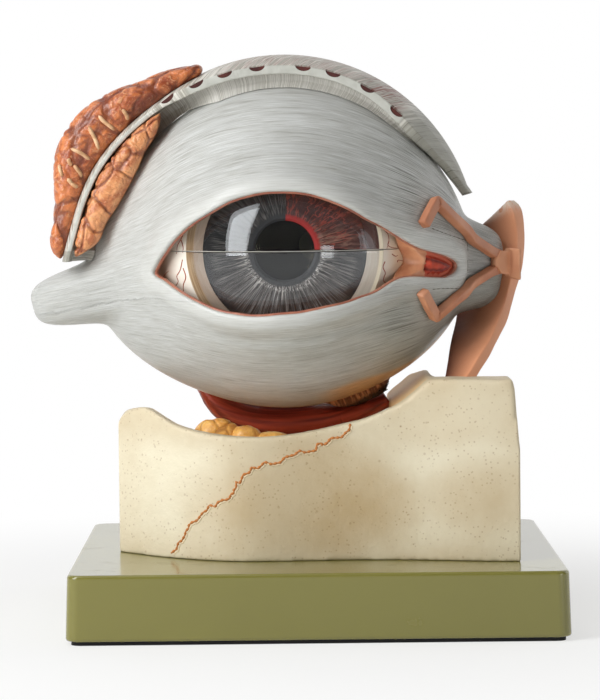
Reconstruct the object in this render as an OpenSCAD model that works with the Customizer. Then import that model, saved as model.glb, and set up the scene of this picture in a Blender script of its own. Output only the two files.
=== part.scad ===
// Eye anatomy model: an enlarged right eye on a stand, made to come apart.
// The eyeball splits at its middle plane; the lids with the tear organs pull off forwards.
// Origin: centre of the underside. +Z up, -Y towards the viewer, +X towards the nose.

/* [Stand] */
// Width of the board
base_w = 190; // [165:1:240]
// Depth of the board
base_d = 180; // [150:1:230]
// Height of the board with its pad
base_h = 26.5; // [20:0.5:36]
// Radius of the board's upright corners
base_corner = 5; // [2:0.5:12]
// Wall of the hollow board
base_wall = 4.5; // [3:0.1:7]
// Thickness of the non-slip pad
pad_t = 1.5; // [0.8:0.1:3]
// Distance of the pad's edge from the board's edge
pad_inset = 2; // [0.5:0.5:6]

/* [Orbit bone] */
// Height of the bone's lowest rim above the board
bone_low = 48; // [40:1:60]
// Height of the bone's outer peak above the lowest rim
bone_peak = 10.3; // [6:0.1:14]
// Thickness of the bone's wall
bone_wall = 7; // [5:0.5:9]
// Depth of the orbit floor below the lowest rim
floor_drop = 5; // [3:0.5:8]
// Thickness of the rim in front of the orbit floor
rim_t = 9; // [6:0.5:12]
// Room between the lids and the nose side of the bone
nasal_gap = 6.6; // [4:0.1:10]
// Radius of the screws in the bone
screw_r = 2; // [1.5:0.1:2.5]

/* [Eyeball] */
// Outer radius of the eyeball
eye_r = 57; // [47.5:0.5:68.5]
// Distance of the eyeball's centre to the left of the board's centre
eye_left = 11.3; // [0:0.1:16]
// Room between the eyeball and the bone's lowest rim
orbit_gap = 14.7; // [13:0.1:24]
// Thickness of the sclera
sclera_t = 4; // [3:0.1:5]
// Thickness of the choroid
choroid_t = 2.4; // [1.5:0.1:3]
// Thickness of the retina
retina_t = 1.8; // [1.2:0.1:2.6]
// Room between nested layers of one half
layer_gap = 0.2; // [0.1:0.05:0.3]
// Room between the two halves at the middle plane
seam_gap = 0.3; // [0.2:0.05:0.5]
// Radius of the cornea's edge
limbus_r = 38; // [31.5:0.5:44]
// Height of the cornea over its edge
cornea_rise = 24.1; // [20:0.1:28]
// Thickness of the cornea
cornea_t = 2; // [1.4:0.1:2.8]
// Radius of the pupil
pupil_r = 11.5; // [8:0.1:15]
// Thickness of the iris
iris_t = 1.3; // [1:0.1:2]
// Radius of the lens
lens_r = 22; // [18.5:0.1:26.4]
// Radius of curvature of the lens's front
lens_front_r = 47; // [40:0.5:56]
// Radius of curvature of the lens's back
lens_back_r = 28.5; // [27.5:0.1:34]
// Thickness of the lens at its edge
lens_edge_t = 1; // [0.5:0.1:1.5]
// Room between the lens and the iris
lens_iris_gap = 1.2; // [0.8:0.1:2]
// Room around the lens
lens_room = 2.5; // [1.5:0.1:4]
// Room around the vitreous body
vitreous_gap = 0.4; // [0.3:0.05:0.8]

/* [Nerve and carriers] */
// Radius of the optic nerve
nerve_r = 6.2; // [5:0.1:7.5]
// Radius of the nerve's sheath
sheath_r = 9; // [8.3:0.1:10.8]
// Distance of the nerve from the eyeball's axis, towards the nose
nerve_x = 14; // [10:0.5:18]
// Angle of the nerve towards the nose
nerve_angle = 14; // [8:0.5:20]
// Length of the nerve behind the eyeball
nerve_l = 34; // [26:0.5:42]
// Radius of the support rod
rod_r = 3; // [2.5:0.1:3.6]
// Length of the rod held by its bush
rod_grip = 20; // [14:0.5:24]
// Running room of the rod and pegs, on the radius
run_gap = 0.05; // [0.02:0.01:0.1]
// Radius of the pegs that hold the lids
peg_r = 1.5; // [1.2:0.1:1.8]
// Radius of the locating pins between the halves
pin_r = 1; // [0.8:0.1:1.2]

/* [Lids] */
// Room between the eyeball and the lids
lid_gap = 3.5; // [3.3:0.1:4.5]
// Thickness of the lids
lid_t = 3; // [2.4:0.1:3.8]
// Room between the cornea's tip and the lids' inner surface
lid_front_gap = 0.4; // [0.3:0.1:1]
// Length of the outer stub beyond the lids
outer_stub = 25; // [18:0.5:30]
// Length of the inner stub beyond the lids
inner_stub = 12; // [8:0.5:15]
// Thickness of the levator plate
plate_t = 2.6; // [2:0.1:3.2]
// Width of the tear canals
canal_w = 4.2; // [3:0.1:5]
// Height of the tear canals over the lids
canal_h = 3; // [2:0.1:3.6]
// Thickness of the tear sac
sac_t = 5.5; // [4:0.1:7]

/* [Muscles] */
// Thickness of the straight muscles
muscle_t = 5; // [4:0.1:6]
// Half the width of the straight muscles
muscle_w = 10; // [8:0.5:11]
// Length of the straight muscles behind the eyeball's centre
muscle_l = 78; // [66:1:90]

/* [Hidden] */

$fn = 96;
big = 400;                 // larger than anything in the model
touch = 0.1;               // room between soft pieces that lie on each other
seat = 0.03;               // radial room of a pressed piece
soft_gap = 0.3;            // room under a soft piece on a moving or curved seat

eye_z = base_h + bone_low + orbit_gap + eye_r;
sclera_in = eye_r - sclera_t;
choroid_out = sclera_in - layer_gap;
choroid_in = choroid_out - choroid_t;
retina_out = choroid_in - layer_gap;
retina_in = retina_out - retina_t;
vitreous_r = retina_in - vitreous_gap;

limbus_z = sqrt(eye_r * eye_r - limbus_r * limbus_r);
limbus_hole = sqrt(sclera_in * sclera_in - limbus_z * limbus_z);
cornea_r = (limbus_r * limbus_r + cornea_rise * cornea_rise) / (2 * cornea_rise);
cornea_z = limbus_z + cornea_rise - cornea_r;
cornea_tip = limbus_z + cornea_rise;

iris_front = limbus_z - 0.2;
iris_back = iris_front - iris_t;
ciliary_front = iris_back - 2.7;
ciliary_back = ciliary_front - 5;
cup_front = ciliary_back - layer_gap;
ciliary_in = lens_r + lens_room;

lens_tip = iris_back - lens_iris_gap;
lens_edge_z = lens_tip - lens_front_r + sqrt(lens_front_r * lens_front_r - lens_r * lens_r);
lens_back_z = lens_edge_z - lens_edge_t;
lens_back_centre = lens_back_z + sqrt(lens_back_r * lens_back_r - lens_r * lens_r);
vitreous_front = ciliary_back - lens_edge_t - 4.5;

lid_r = eye_r + lid_gap + lid_t;
lid_bulge = cornea_tip + lid_front_gap + lid_t - lid_r;

nerve_y = sqrt(eye_r * eye_r - nerve_x * nerve_x);
rod_x = -17;
rod_y = 30;
rod_boss_r = rod_r + 2.5;
floor_z = base_h + bone_low - floor_drop;

// ---- small functions ----

function smooth(t) = let (c = min(1, max(0, t))) c * c * (3 - 2 * c);
function mix(a, b, t) = a + (b - a) * t;
function unit(v) = v / norm(v);
function turn(a) = a - 360 * floor((a + 180) / 360);
function bump(x, w, p) = exp(-pow(abs(x) / w, p));
function vsum(list, i = 0) = i >= len(list) ? [0, 0, 0] : list[i] + vsum(list, i + 1);
function mean(list) = vsum(list) / len(list);

// Smooth curve through rows of [x, value, value, ...], read at x.
function seg(keys, x, i = 0) = (i >= len(keys) - 2 || x < keys[i + 1][0]) ? i : seg(keys, x, i + 1);
function slope(keys, i) = let (a = keys[max(0, i - 1)], b = keys[min(len(keys) - 1, i + 1)])
    (b - a) / (b[0] - a[0]);
function curve(keys, x) = let (
    i = seg(keys, x),
    a = keys[i],
    b = keys[i + 1],
    h = b[0] - a[0],
    t = min(1, max(0, (x - a[0]) / h)))
    a * (2 * t * t * t - 3 * t * t + 1) + slope(keys, i) * h * (t * t * t - 2 * t * t + t)
    + b * (3 * t * t - 2 * t * t * t) + slope(keys, i + 1) * h * (t * t * t - t * t);

// ---- closed skins over rings of points ----

function ring_faces(n, m, loop) = [for (i = [0 : loop ? n - 1 : n - 2], j = [0 : m - 1], k = [0, 1])
    let (here = i * m, next = ((i + 1) % n) * m, q = (j + 1) % m,
        a = here + j, b = here + q, c = next + q, d = next + j)
    k == 0 ? [a, c, b] : [a, d, c]];
function cap_faces(n, m) = [for (j = [0 : m - 1], k = [0, 1])
    k == 0 ? [n * m, j, (j + 1) % m] : [n * m + 1, (n - 1) * m + (j + 1) % m, (n - 1) * m + j]];
function signed_volume(p, faces, i = 0, sum = 0) = i >= len(faces) ? sum :
    signed_volume(p, faces, i + 1, sum + cross(p[faces[i][0]], p[faces[i][2]]) * p[faces[i][1]]);

module skin(rings, loop = false) {
    n = len(rings);
    m = len(rings[0]);
    flat = [for (r = rings, p = r) p];
    points = loop ? flat : concat(flat, [mean(rings[0]), mean(rings[n - 1])]);
    faces = loop ? ring_faces(n, m, true) : concat(ring_faces(n, m, false), cap_faces(n, m));
    turned = [for (f = faces) [f[0], f[2], f[1]]];
    polyhedron(points, signed_volume(points, faces) > 0 ? faces : turned);
}

// A round-ended body along a path: one radius pair (sideways, across) per point.
function tangent(path, i) = unit(path[min(len(path) - 1, i + 1)] - path[max(0, i - 1)]);
function tube_ring(c, t, ref, ra, rb, m) = let (n = unit(cross(ref, t)), b = cross(t, n))
    [for (j = [0 : m - 1]) let (a = 360 * j / m) c + n * ra * cos(a) + b * rb * sin(a)];

module tube(path, radii, ref, m) {
    skin([for (i = [0 : len(path) - 1])
        tube_ring(path[i], tangent(path, i), ref, radii[i][0], radii[i][1], m)]);
}

// ---- eyeball frame: local z points forward, local y up ----

module at_eye() { translate([-eye_left, 0, eye_z]) children(); }
module eye_frame() { at_eye() rotate([90, 0, 0]) children(); }
module upper() {
    intersection() {
        children();
        translate([-big / 2, seam_gap / 2, -big / 2]) cube([big, big, big]);
    }
}
module lower() {
    intersection() {
        children();
        translate([-big / 2, -big - seam_gap / 2, -big / 2]) cube([big, big, big]);
    }
}
module behind(z) { translate([-big / 2, -big / 2, z - big]) cube([big, big, big]); }
module ahead(z) { translate([-big / 2, -big / 2, z]) cube([big, big, big]); }

// The nerve's own line: local z runs back along the nerve from the eyeball's surface.
module nerve_frame() {
    rotate([-90, 0, 0]) translate([nerve_x, 0, nerve_y]) rotate([0, nerve_angle, 0]) children();
}
module nerve_bore(r) {
    rotate([-90, 0, 0]) nerve_frame() translate([0, 0, -eye_r / 3]) cylinder(r = r, h = eye_r);
}

module cup(out_r, in_r, front, bore) {
    difference() {
        sphere(r = out_r);
        sphere(r = in_r);
        ahead(front);
        nerve_bore(bore);
    }
}

// ---- stand ----

module round_slab(w, d, h, r) {
    translate([-w / 2 + r, -d / 2, 0]) cube([w - 2 * r, d, h]);
    translate([-w / 2, -d / 2 + r, 0]) cube([w, d - 2 * r, h]);
    for (x = [-1, 1], y = [-1, 1])
        translate([x * (w / 2 - r), y * (d / 2 - r), 0]) cylinder(r = r, h = h);
}

screw_spots = [[-50, -14], [52, -36], [44, 22]];
screw_head_r = 2 * screw_r;
screw_head_h = 3;
screw_l = 14;
screw_clearance = 0.3;
boss_wall = 4;
bush_wall = 2.5;
bush_flange = 5;           // width of the bush's flange beyond the rod
bush_flange_t = 2;
bush_floor = 2;

module base_board() color("darkolivegreen") {
    difference() {
        translate([0, 0, pad_t]) round_slab(base_w, base_d, base_h - pad_t, base_corner);
        translate([0, 0, pad_t - 1]) board_room();
        for (p = screw_spots) translate([p[0], p[1], 0])
            cylinder(r = screw_r + screw_clearance, h = base_h + 1);
    }
}
module board_room() {
    w = base_w - 2 * base_wall;
    d = base_d - 2 * base_wall;
    translate([-w / 2, -d / 2, 0]) cube([w, d, base_h - pad_t - base_wall + 1]);
}
module base_pad() color("black")
    round_slab(base_w - 2 * pad_inset, base_d - 2 * pad_inset, pad_t, base_corner - pad_inset / 2);

// Plan of the bone, its front edge from left to right, then its back corners.
bone_back = 40;
bone_plan = [[-78, -15], [-68.5, -25.5], [-57, -37.5], [-41, -47.8], [-24.5, -53], [3, -49.8],
    [35, -50.8], [57, -57], [78, -60], [80, bone_back], [-80, bone_back]];

// Nose side: the lids' outline there sets how high the bone may rise.
nasal_x = 54.6;
nasal_lid_r = lid_r + 6;
nasal_top = -sqrt(nasal_lid_r * nasal_lid_r - nasal_x * nasal_x) - nasal_gap;
nasal_rise = eye_z + nasal_top - base_h - bone_low;

// Front outline of the bone: distance across, height above the lowest rim as a share of the rise.
bone_left_rim = [[-79, -0.15], [-78.3, 0.25], [-76.5, 0.6], [-73, 0.86], [-68.5, 1], [-65, 0.95],
    [-60.8, 0.74], [-56.9, 0.53], [-53, 0.36], [-45, 0.18], [-35, 0.05], [-22, 0]];
bone_right_rim = [[-10, 0.03], [0, 0.1], [10, 0.2], [19, 0.3], [27, 0.45], [33, 0.58], [39, 0.8],
    [43, 0.96], [46.5, 0.995], [60, 1], [71.5, 0.985], [75.5, 0.96], [77, 0.3], [78, -0.2]];

module bone_profile() {
    low = base_h + bone_low;
    polygon(concat([[-80, base_h]],
        [for (p = bone_left_rim) [p[0], low + p[1] * bone_peak]],
        [for (p = bone_right_rim) [p[0], low + p[1] * nasal_rise]],
        [[79, base_h]]));
}
function shrink(points, d) = [for (p = points) p * (1 - d / norm(p))];

module bone_block() color("wheat") {
    bush_out = rod_r + bush_wall;
    difference() {
        intersection() {
            translate([0, big / 2, 0]) rotate([90, 0, 0]) linear_extrude(big) bone_profile();
            linear_extrude(big) polygon(bone_plan);
        }
        orbit_floor_room();
        difference() {
            translate([0, 0, base_h - 1]) linear_extrude(floor_z - bone_wall - base_h + 1)
                polygon(shrink(bone_plan, 2 * bone_wall));
            for (p = screw_spots) translate([p[0], p[1], 0]) cylinder(r = screw_r + boss_wall, h = big);
            translate([rod_x - eye_left, rod_y, 0]) cylinder(r = bush_out + boss_wall, h = big);
        }
        for (p = screw_spots) translate([p[0], p[1], base_h - 1])
            cylinder(r = screw_r + seat, h = screw_l - base_wall + 1.5);
        translate([rod_x - eye_left, rod_y, floor_z - rod_grip - bush_floor])
            cylinder(r = bush_out + seat, h = big);
    }
}

// The space over the orbit floor, behind the rim and open to the back.
module orbit_floor_room() {
    front = shrink([for (i = [1 : 6]) bone_plan[i]], rim_t);
    left = bone_plan[0][0] + rim_t;
    translate([0, 0, floor_z]) linear_extrude(big)
        polygon(concat([[left, -12]], front, [[30, bone_back + 1], [left, bone_back + 1]]));
}

module bone_screws() color("silver")
    for (p = screw_spots) translate([p[0], p[1], base_h - base_wall - screw_head_h]) {
        cylinder(r = screw_head_r, h = screw_head_h);
        cylinder(r = screw_r, h = screw_head_h + screw_l);
    }

module mounting_bush() color("goldenrod")
    translate([rod_x - eye_left, rod_y, floor_z]) difference() {
        union() {
            cylinder(r = rod_r + bush_flange, h = bush_flange_t);
            translate([0, 0, -rod_grip - bush_floor])
                cylinder(r = rod_r + bush_wall, h = rod_grip + bush_floor + 1);
        }
        translate([0, 0, -rod_grip]) cylinder(r = rod_r + run_gap, h = rod_grip + bush_flange_t + 1);
    }

// Fat lobes on the orbit floor: centre across, depth, half width, half depth, height.
fat_lobes = [[-38.6, -24, 10.2, 8, 11], [-27.8, -25.5, 7.4, 8, 8.2], [-17, -26.5, 8, 8, 5.4]];
module orbit_fat() color("sandybrown")
    for (f = fat_lobes) translate([f[0], f[1], floor_z])
        skin([for (k = [0 : 5]) let (a = 15 * k)
            [for (j = [0 : 15]) let (b = 22.5 * j, lump = (1 + 0.06 * cos(3 * b + 40 * k)) * cos(a))
                [f[2] * lump * cos(b), f[3] * lump * sin(b), f[4] * sin(a)]]]);

// ---- eyeball ----

rod_top = -sqrt(eye_r * eye_r - rod_x * rod_x - rod_y * rod_y) + 2;
module support_rod() color("gainsboro")
    translate([rod_x - eye_left, rod_y, floor_z - rod_grip + 0.5])
        cylinder(r = rod_r, h = eye_z + rod_top - floor_z + rod_grip - 0.5);

pin_angles = [28, 152, 205, 335];
module pins(r, h) {
    for (a = pin_angles) rotate([0, 0, a]) translate([eye_r - sclera_t / 2, 0, -h])
        cylinder(r = r, h = 2 * h);
}
pin_h = 3;

peg_rho = eye_r + 3.6;
peg_angles = [225, 315];
peg_boss_r = peg_r + 1.9;
peg_back = 2;
module peg_line(r, from, to) {
    for (a = peg_angles) translate([peg_rho * cos(a), from, peg_rho * sin(a)])
        rotate([-90, 0, 0]) cylinder(r = r, h = to - from);
}

module sclera_lower() color("ivory") at_eye() difference() {
    union() {
        rotate([90, 0, 0]) lower() cup(eye_r, sclera_in, limbus_z, nerve_hold);
        difference() {
            union() {
                translate([rod_x, rod_y, rod_top - 7.5]) cylinder(r = rod_boss_r, h = 10);
                peg_line(peg_boss_r, -8, 6);
                for (a = peg_angles) rotate([0, -a, 0]) translate([eye_r - 4, -7.4, -peg_boss_r + 0.8])
                    cube([7, 12.8, 2 * peg_boss_r - 1.6]);
            }
            sphere(r = sclera_in + 0.5);
        }
    }
    pins(pin_r + seat, pin_h);
    peg_line(peg_r + run_gap, -9, peg_back + 1);
    translate([rod_x, rod_y, rod_top - big]) cylinder(r = rod_r + seat, h = big);
}
module sclera_upper() color("ivory") at_eye() difference() {
    rotate([90, 0, 0]) upper() cup(eye_r, sclera_in, limbus_z, nerve_clear);
    pins(pin_r + 0.1, pin_h + 0.5);
}
// The nerve stays in the lower half, so the upper half clears it.
nerve_hold = nerve_r + seat;
nerve_clear = nerve_r + 2 * soft_gap;
module choroid_cup(bore) { cup(choroid_out, choroid_in, cup_front, bore); }
module retina_cup(bore) { cup(retina_out, retina_in, cup_front, bore); }
module choroid_lower() color("saddlebrown") eye_frame() lower() choroid_cup(nerve_hold);
module choroid_upper() color("saddlebrown") eye_frame() upper() choroid_cup(nerve_clear);
module retina_lower() color("orange") eye_frame() lower() retina_cup(nerve_hold);
module retina_upper() color("orange") eye_frame() upper() retina_cup(nerve_clear);

module ciliary_ring() {
    intersection() {
        rotate_extrude() polygon([[ciliary_in, ciliary_back + 1], [ciliary_in + 2, ciliary_front],
            [eye_r, ciliary_front], [eye_r, ciliary_back], [ciliary_in + 7, ciliary_back]]);
        sphere(r = choroid_out);
    }
}
module ciliary_body_lower() color("dimgray") eye_frame() lower() ciliary_ring();
module ciliary_body_upper() color("dimgray") eye_frame() upper() ciliary_ring();

module iris_ring() {
    edge = limbus_hole - touch;
    rotate_extrude() polygon([[pupil_r, iris_back + 0.3], [pupil_r + 1, iris_front], [edge, iris_front],
        [edge, iris_back], [pupil_r + 1, iris_back]]);
}
module iris_lower() color("slategray") eye_frame() lower() iris_ring();
module iris_upper() color("slategray") eye_frame() upper() iris_ring();

module cornea_dome() {
    difference() {
        translate([0, 0, cornea_z]) sphere(r = cornea_r);
        translate([0, 0, cornea_z]) sphere(r = cornea_r - cornea_t);
        behind(limbus_z);
    }
}
module cornea_lower() color("aliceblue") eye_frame() lower() cornea_dome();
module cornea_upper() color("aliceblue") eye_frame() upper() cornea_dome();

module lens_form(grow) {
    intersection() {
        translate([0, 0, lens_tip - lens_front_r]) sphere(r = lens_front_r + grow);
        translate([0, 0, lens_back_centre]) sphere(r = lens_back_r + grow);
        translate([0, 0, lens_back_centre - lens_back_r - 2])
            cylinder(r = lens_r + grow, h = lens_back_r + 10);
    }
}
module lens() color("lightyellow") eye_frame() lens_form(0);
module vitreous_body() color("lightcyan") eye_frame() difference() {
    sphere(r = vitreous_r);
    ahead(vitreous_front);
    lens_form(vitreous_gap);
}

module optic_nerve() color("khaki") at_eye() difference() {
    nerve_frame() translate([0, 0, -sclera_t - choroid_t - retina_t - 3])
        cylinder(r = nerve_r, h = sclera_t + choroid_t + retina_t + 3 + nerve_l);
    sphere(r = retina_in);
}
module nerve_sheath() color("burlywood") at_eye() difference() {
    nerve_frame() translate([0, 0, -4]) cylinder(r = sheath_r, h = nerve_l - 2);
    nerve_frame() translate([0, 0, -5]) cylinder(r = nerve_r + seat, h = nerve_l + 2);
    translate([0, 0, -big / 2]) cylinder(r = eye_r + soft_gap, h = big);
}
module register_pins() color("silver") at_eye() pins(pin_r, pin_h);

// ---- muscles ----

// Inner radius of a straight muscle: on the eyeball, then straight back, drawing in.
draw_in = 0.2;
leave_y = draw_in * eye_r;
function bed_r(y, lift) = let (r0 = eye_r + soft_gap)
    (y < leave_y ? sqrt(r0 * r0 - y * y) : sqrt(r0 * r0 - leave_y * leave_y) - draw_in * (y - leave_y))
    + lift * smooth((y + 6) / 14);
function belly(y) = y < 0 ? mix(0.9, 1.7, smooth((y + 15) / 15)) : mix(1.7, muscle_t, smooth(y / 26));
function strap_w(y) = muscle_w * mix(0.92, mix(1, 0.72, smooth((y - 40) / 40)), smooth((y + 15) / 30));

full_section = [for (k = [0 : 11]) let (a = 30 * k) [cos(a), (1 + sin(a)) / 2]];
half_section = [[0, 0], [0.5, 0.05], [0.85, 0.2], [1, 0.5], [0.85, 0.8], [0.5, 0.95], [0, 1]];

// side 0 is a whole muscle; 1 and -1 are its halves above and below the middle plane.
module strap(phi, side, lift = 0) {
    section = side == 0 ? full_section : half_section;
    dir = cos(phi) * side;
    ys = [-15, -10, -5, 0, 5, 10, 16, 22, 30, 39, 48, 58, 68, muscle_l];
    at_eye() skin([for (y = ys) let (r0 = bed_r(y, lift), w = strap_w(y), t = belly(y))
        [for (s = section) let (
            r = r0 + t * s[1],
            off = side == 0 ? s[0] * w : seam_gap / 2 + s[0] * w,
            a = phi + asin(off / r) * (side == 0 ? 1 : dir))
            [r * cos(a), y, r * sin(a)]]]);
}
module inferior_rectus() color("firebrick") strap(270, 0);
module lateral_rectus_lower() color("firebrick") strap(180, -1);
module medial_rectus_lower() color("firebrick") strap(0, -1);
module superior_rectus() color("firebrick") strap(90, 0, 3);
module lateral_rectus_upper() color("firebrick") strap(180, 1);
module medial_rectus_upper() color("firebrick") strap(0, 1);

function ball_r(y) = sqrt((eye_r + soft_gap) * (eye_r + soft_gap) - y * y);
// An oblique muscle: [angle, depth, height over the eyeball, thickness, half width].
module oblique(keys, n) {
    from = keys[0][0];
    to = keys[len(keys) - 1][0];
    at_eye() skin([for (i = [0 : n]) let (k = curve(keys, mix(from, to, i / n)))
        [for (s = full_section) let (y = k[1] + s[0] * k[4], r = ball_r(y) + k[2] + k[3] * s[1])
            [r * cos(k[0]), y, r * sin(k[0])]]]);
}
// The inferior oblique slings under the eyeball and fills the space down to the orbit floor.
sling_t = orbit_gap + floor_drop - 7.5;
module inferior_oblique() color("darkred")
    oblique([for (k = [[226, 16, 0.6, 0.2, 6], [238, 15, 3.4, 0.68, 9], [246, 14.5, 6, 0.94, 10.4],
        [256, 14, 8, 1, 11], [268, 13, 8, 1, 11], [279, 12.4, 8.4, 0.97, 10.4], [285, 12, 10.4, 0.8, 9.6],
        [291, 11.5, 13.6, 0.54, 8.6], [297, 11, 15.8, 0.35, 7.4], [302, 11, 17, 0.22, 6]])
        [k[0], k[1], k[2], k[3] * sling_t, k[4]]], 22);
module superior_oblique() color("darkred")
    oblique([[44, 2, 2.4, 2.6, 2.6], [56, 5, 0.8, 2, 4], [72, 11, 0.1, 1.4, 6], [88, 16, 0.1, 1.4, 7.5],
        [106, 21, 0.1, 1.2, 8.5], [120, 25, 0, 0.8, 8]], 14);
module suspensory_ligament() color("rosybrown")
    oblique([[282, 4, 0.4, 4.8, 4.5], [287, 4.5, 0.4, 9, 5], [293, 5, 0.4, 11.8, 5.5], [300, 5.5, 0.4, 12.6, 5.5],
        [304, 5.5, 1, 12, 5.5], [307, 6, 3, 7, 4]], 8);

// ---- lids ----

function lid_base(th, ph) = lid_r + lid_bulge * bump(th, 35, 4)
    + 15 * bump(turn(ph - 190), 38, 2) * smooth((th - 55) / 30)
    + 11 * bump(turn(ph + 8), 40, 2) * smooth((th - 40) / 35)
    + 4 * bump(turn(ph - 90), 60, 4) * smooth((th - 40) / 30);
function lid_out(th, ph) = lid_base(th, ph)
    + outer_stub * bump(turn(ph - 192.5), 7.5, 4) * smooth((th - 70) / 18)
    + inner_stub * bump(turn(ph + 6), 13, 6) * smooth((th - 75) / 15);
function lid_edge(ph) = 88 - 10 * bump(turn(ph - 90), 60, 4);

// Angle of the lid margin out from the eye's axis, round the fissure from its inner corner.
margin = [[-10.5, 64], [-8.5, 68], [-5.5, 69.5], [-3, 64], [0, 53.5], [6, 45], [18.5, 32.7], [28, 28],
    [44, 23.5], [62, 21], [91, 19.7], [120, 21.8], [137, 25], [153, 29.5], [166, 36.9], [180, 47.5],
    [186, 53], [190, 55.9], [193.5, 51], [200, 45], [210, 37.5], [222, 31.3], [234, 26.5], [258, 21.5],
    [277, 20.6], [305, 23], [326, 30.3], [336, 37.7], [345, 45.2], [348, 52], [349.5, 64]];
function lid_margin(ph) = let (a = ph < -10.5 ? ph + 360 : ph > 349.5 ? ph - 360 : ph) curve(margin, a)[1];

function polar(th, ph, r) = [r * sin(th) * cos(ph), -r * cos(th), r * sin(th) * sin(ph)];
function lid_point(th, ph, up) = polar(th, ph, lid_out(th, ph) + up);
// Angle out from the axis at which the lids' outer surface has a given depth in front.
function lid_angle(depth, ph, lo = 1, hi = 90, i = 0) = i > 24 ? lo :
    let (m = (lo + hi) / 2) lid_out(m, ph) * cos(m) > depth ? lid_angle(depth, ph, m, hi, i + 1)
    : lid_angle(depth, ph, lo, m, i + 1);
function lid_rho(depth, ph) = let (m = lid_angle(depth, ph)) lid_out(m, ph) * sin(m);

lid_turns = concat([for (a = [-14 : 1.5 : 8]) a], [for (a = [11 : 4.5 : 168]) a],
    [for (a = [171 : 2.5 : 212]) a], [for (a = [216 : 4.4 : 343]) a]);
lid_steps = [0, 0.04, 0.12, 0.24, 0.38, 0.52, 0.66, 0.78, 0.87, 0.94, 1];
function lid_section(ph) = let (a = lid_margin(ph), ths = [for (s = lid_steps) mix(a, lid_edge(ph), s)])
    concat([for (th = ths) lid_point(th, ph, 0)],
        [for (i = [len(ths) - 1 : -1 : 0]) polar(ths[i], ph, lid_base(ths[i], ph) - lid_t)]);
module lid_shell() color("lightsteelblue") at_eye() skin([for (ph = lid_turns) lid_section(ph)], true);

// The pink lining of the lids shows as a thin rim inside the fissure.
rim_w = 1.6;
rim_room = 0.25;
function rim_section(ph) = let (a = lid_margin(ph), r = lid_base(a, ph) - lid_t)
    [polar(a + rim_w, ph, lid_base(a + rim_w, ph) - lid_t - rim_room), polar(a - rim_room, ph, r - rim_room),
        polar(a - rim_room, ph, r + 1.2), polar(a - rim_w, ph, r + 1.2), polar(a - rim_w, ph, r - 0.4),
        polar(a + rim_w, ph, r - 1.1)];
module lid_rim() color("indianred") at_eye() skin([for (ph = lid_turns) rim_section(ph)], true);

module lid_pegs() color("silver") at_eye() for (a = peg_angles)
    translate([peg_rho * cos(a), -peg_front(a), peg_rho * sin(a)]) rotate([-90, 0, 0])
        cylinder(r = peg_r, h = peg_front(a) + peg_back);
// The pegs run forward into the lids' wall.
function peg_front(ph, lo = 0, hi = 60, i = 0) = i > 20 ? lo + lid_t * 0.4 :
    let (m = (lo + hi) / 2, r = norm([peg_rho, m]))
    r < lid_base(acos(m / r), ph) - lid_t ? peg_front(ph, m, hi, i + 1) : peg_front(ph, lo, m, i + 1);

// A low mound in the inner corner, and the fold beside it: [angle round, angle out, half width, height].
module corner_pad(keys, n, base_up) {
    at_eye() skin([for (i = [0 : n]) let (
        k = curve(keys, mix(keys[0][0], keys[len(keys) - 1][0], i / n)),
        c = polar(k[0], k[1], 1),
        r = lid_base(k[0], k[1]) - lid_t + base_up,
        side = unit(cross(c, [1, 0, 0])))
        [for (j = [0 : 9]) let (a = 36 * j, up = sin(a) > 0 ? sin(a) : 0.35 * sin(a))
            c * (r + k[3] * up) + side * k[2] * cos(a)]]);
}
module caruncle() color("firebrick")
    corner_pad([[55, -5, 1.5, 1], [58, -5.5, 3.4, 2.2], [61.5, -6.3, 3.4, 2.6], [65, -7.2, 3, 2.2],
        [67.6, -7.8, 1.4, 1]], 10, -1.6);
module plica() color("lightpink")
    corner_pad([[51, -4.6, 3, 0.8], [52.5, -4.7, 4.4, 1.4], [54.4, -4.9, 4, 1]], 4, -1.9);

// ---- levator plate ----

// Front edge of the plate: angle round, radius beyond the eyeball's, depth in front of its centre.
plate_edge = [[15.8, 18.4, 4], [22.6, 15.5, 10], [27, 14, 14.3], [30.8, 12.4, 18], [40.3, 10.9, 24],
    [49.4, 11.2, 26], [60, 12.5, 26], [70, 13.2, 26], [98, 13.8, 26], [117.7, 15.4, 26], [137.9, 18.7, 24],
    [156.5, 22.8, 24], [174.2, 26, 24], [182.8, 29, 24]];
plate_turns = concat([for (a = [15.8, 18, 21, 25, 29]) a], [for (a = [33 : 4 : 177]) a], [180, 182.8]);
notch_angles = [50.4, 62.3, 74.1, 83.7, 98.1, 108.3, 117.5, 127.3];
notch_depth = 2;
notch_w = 3.4;

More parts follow.
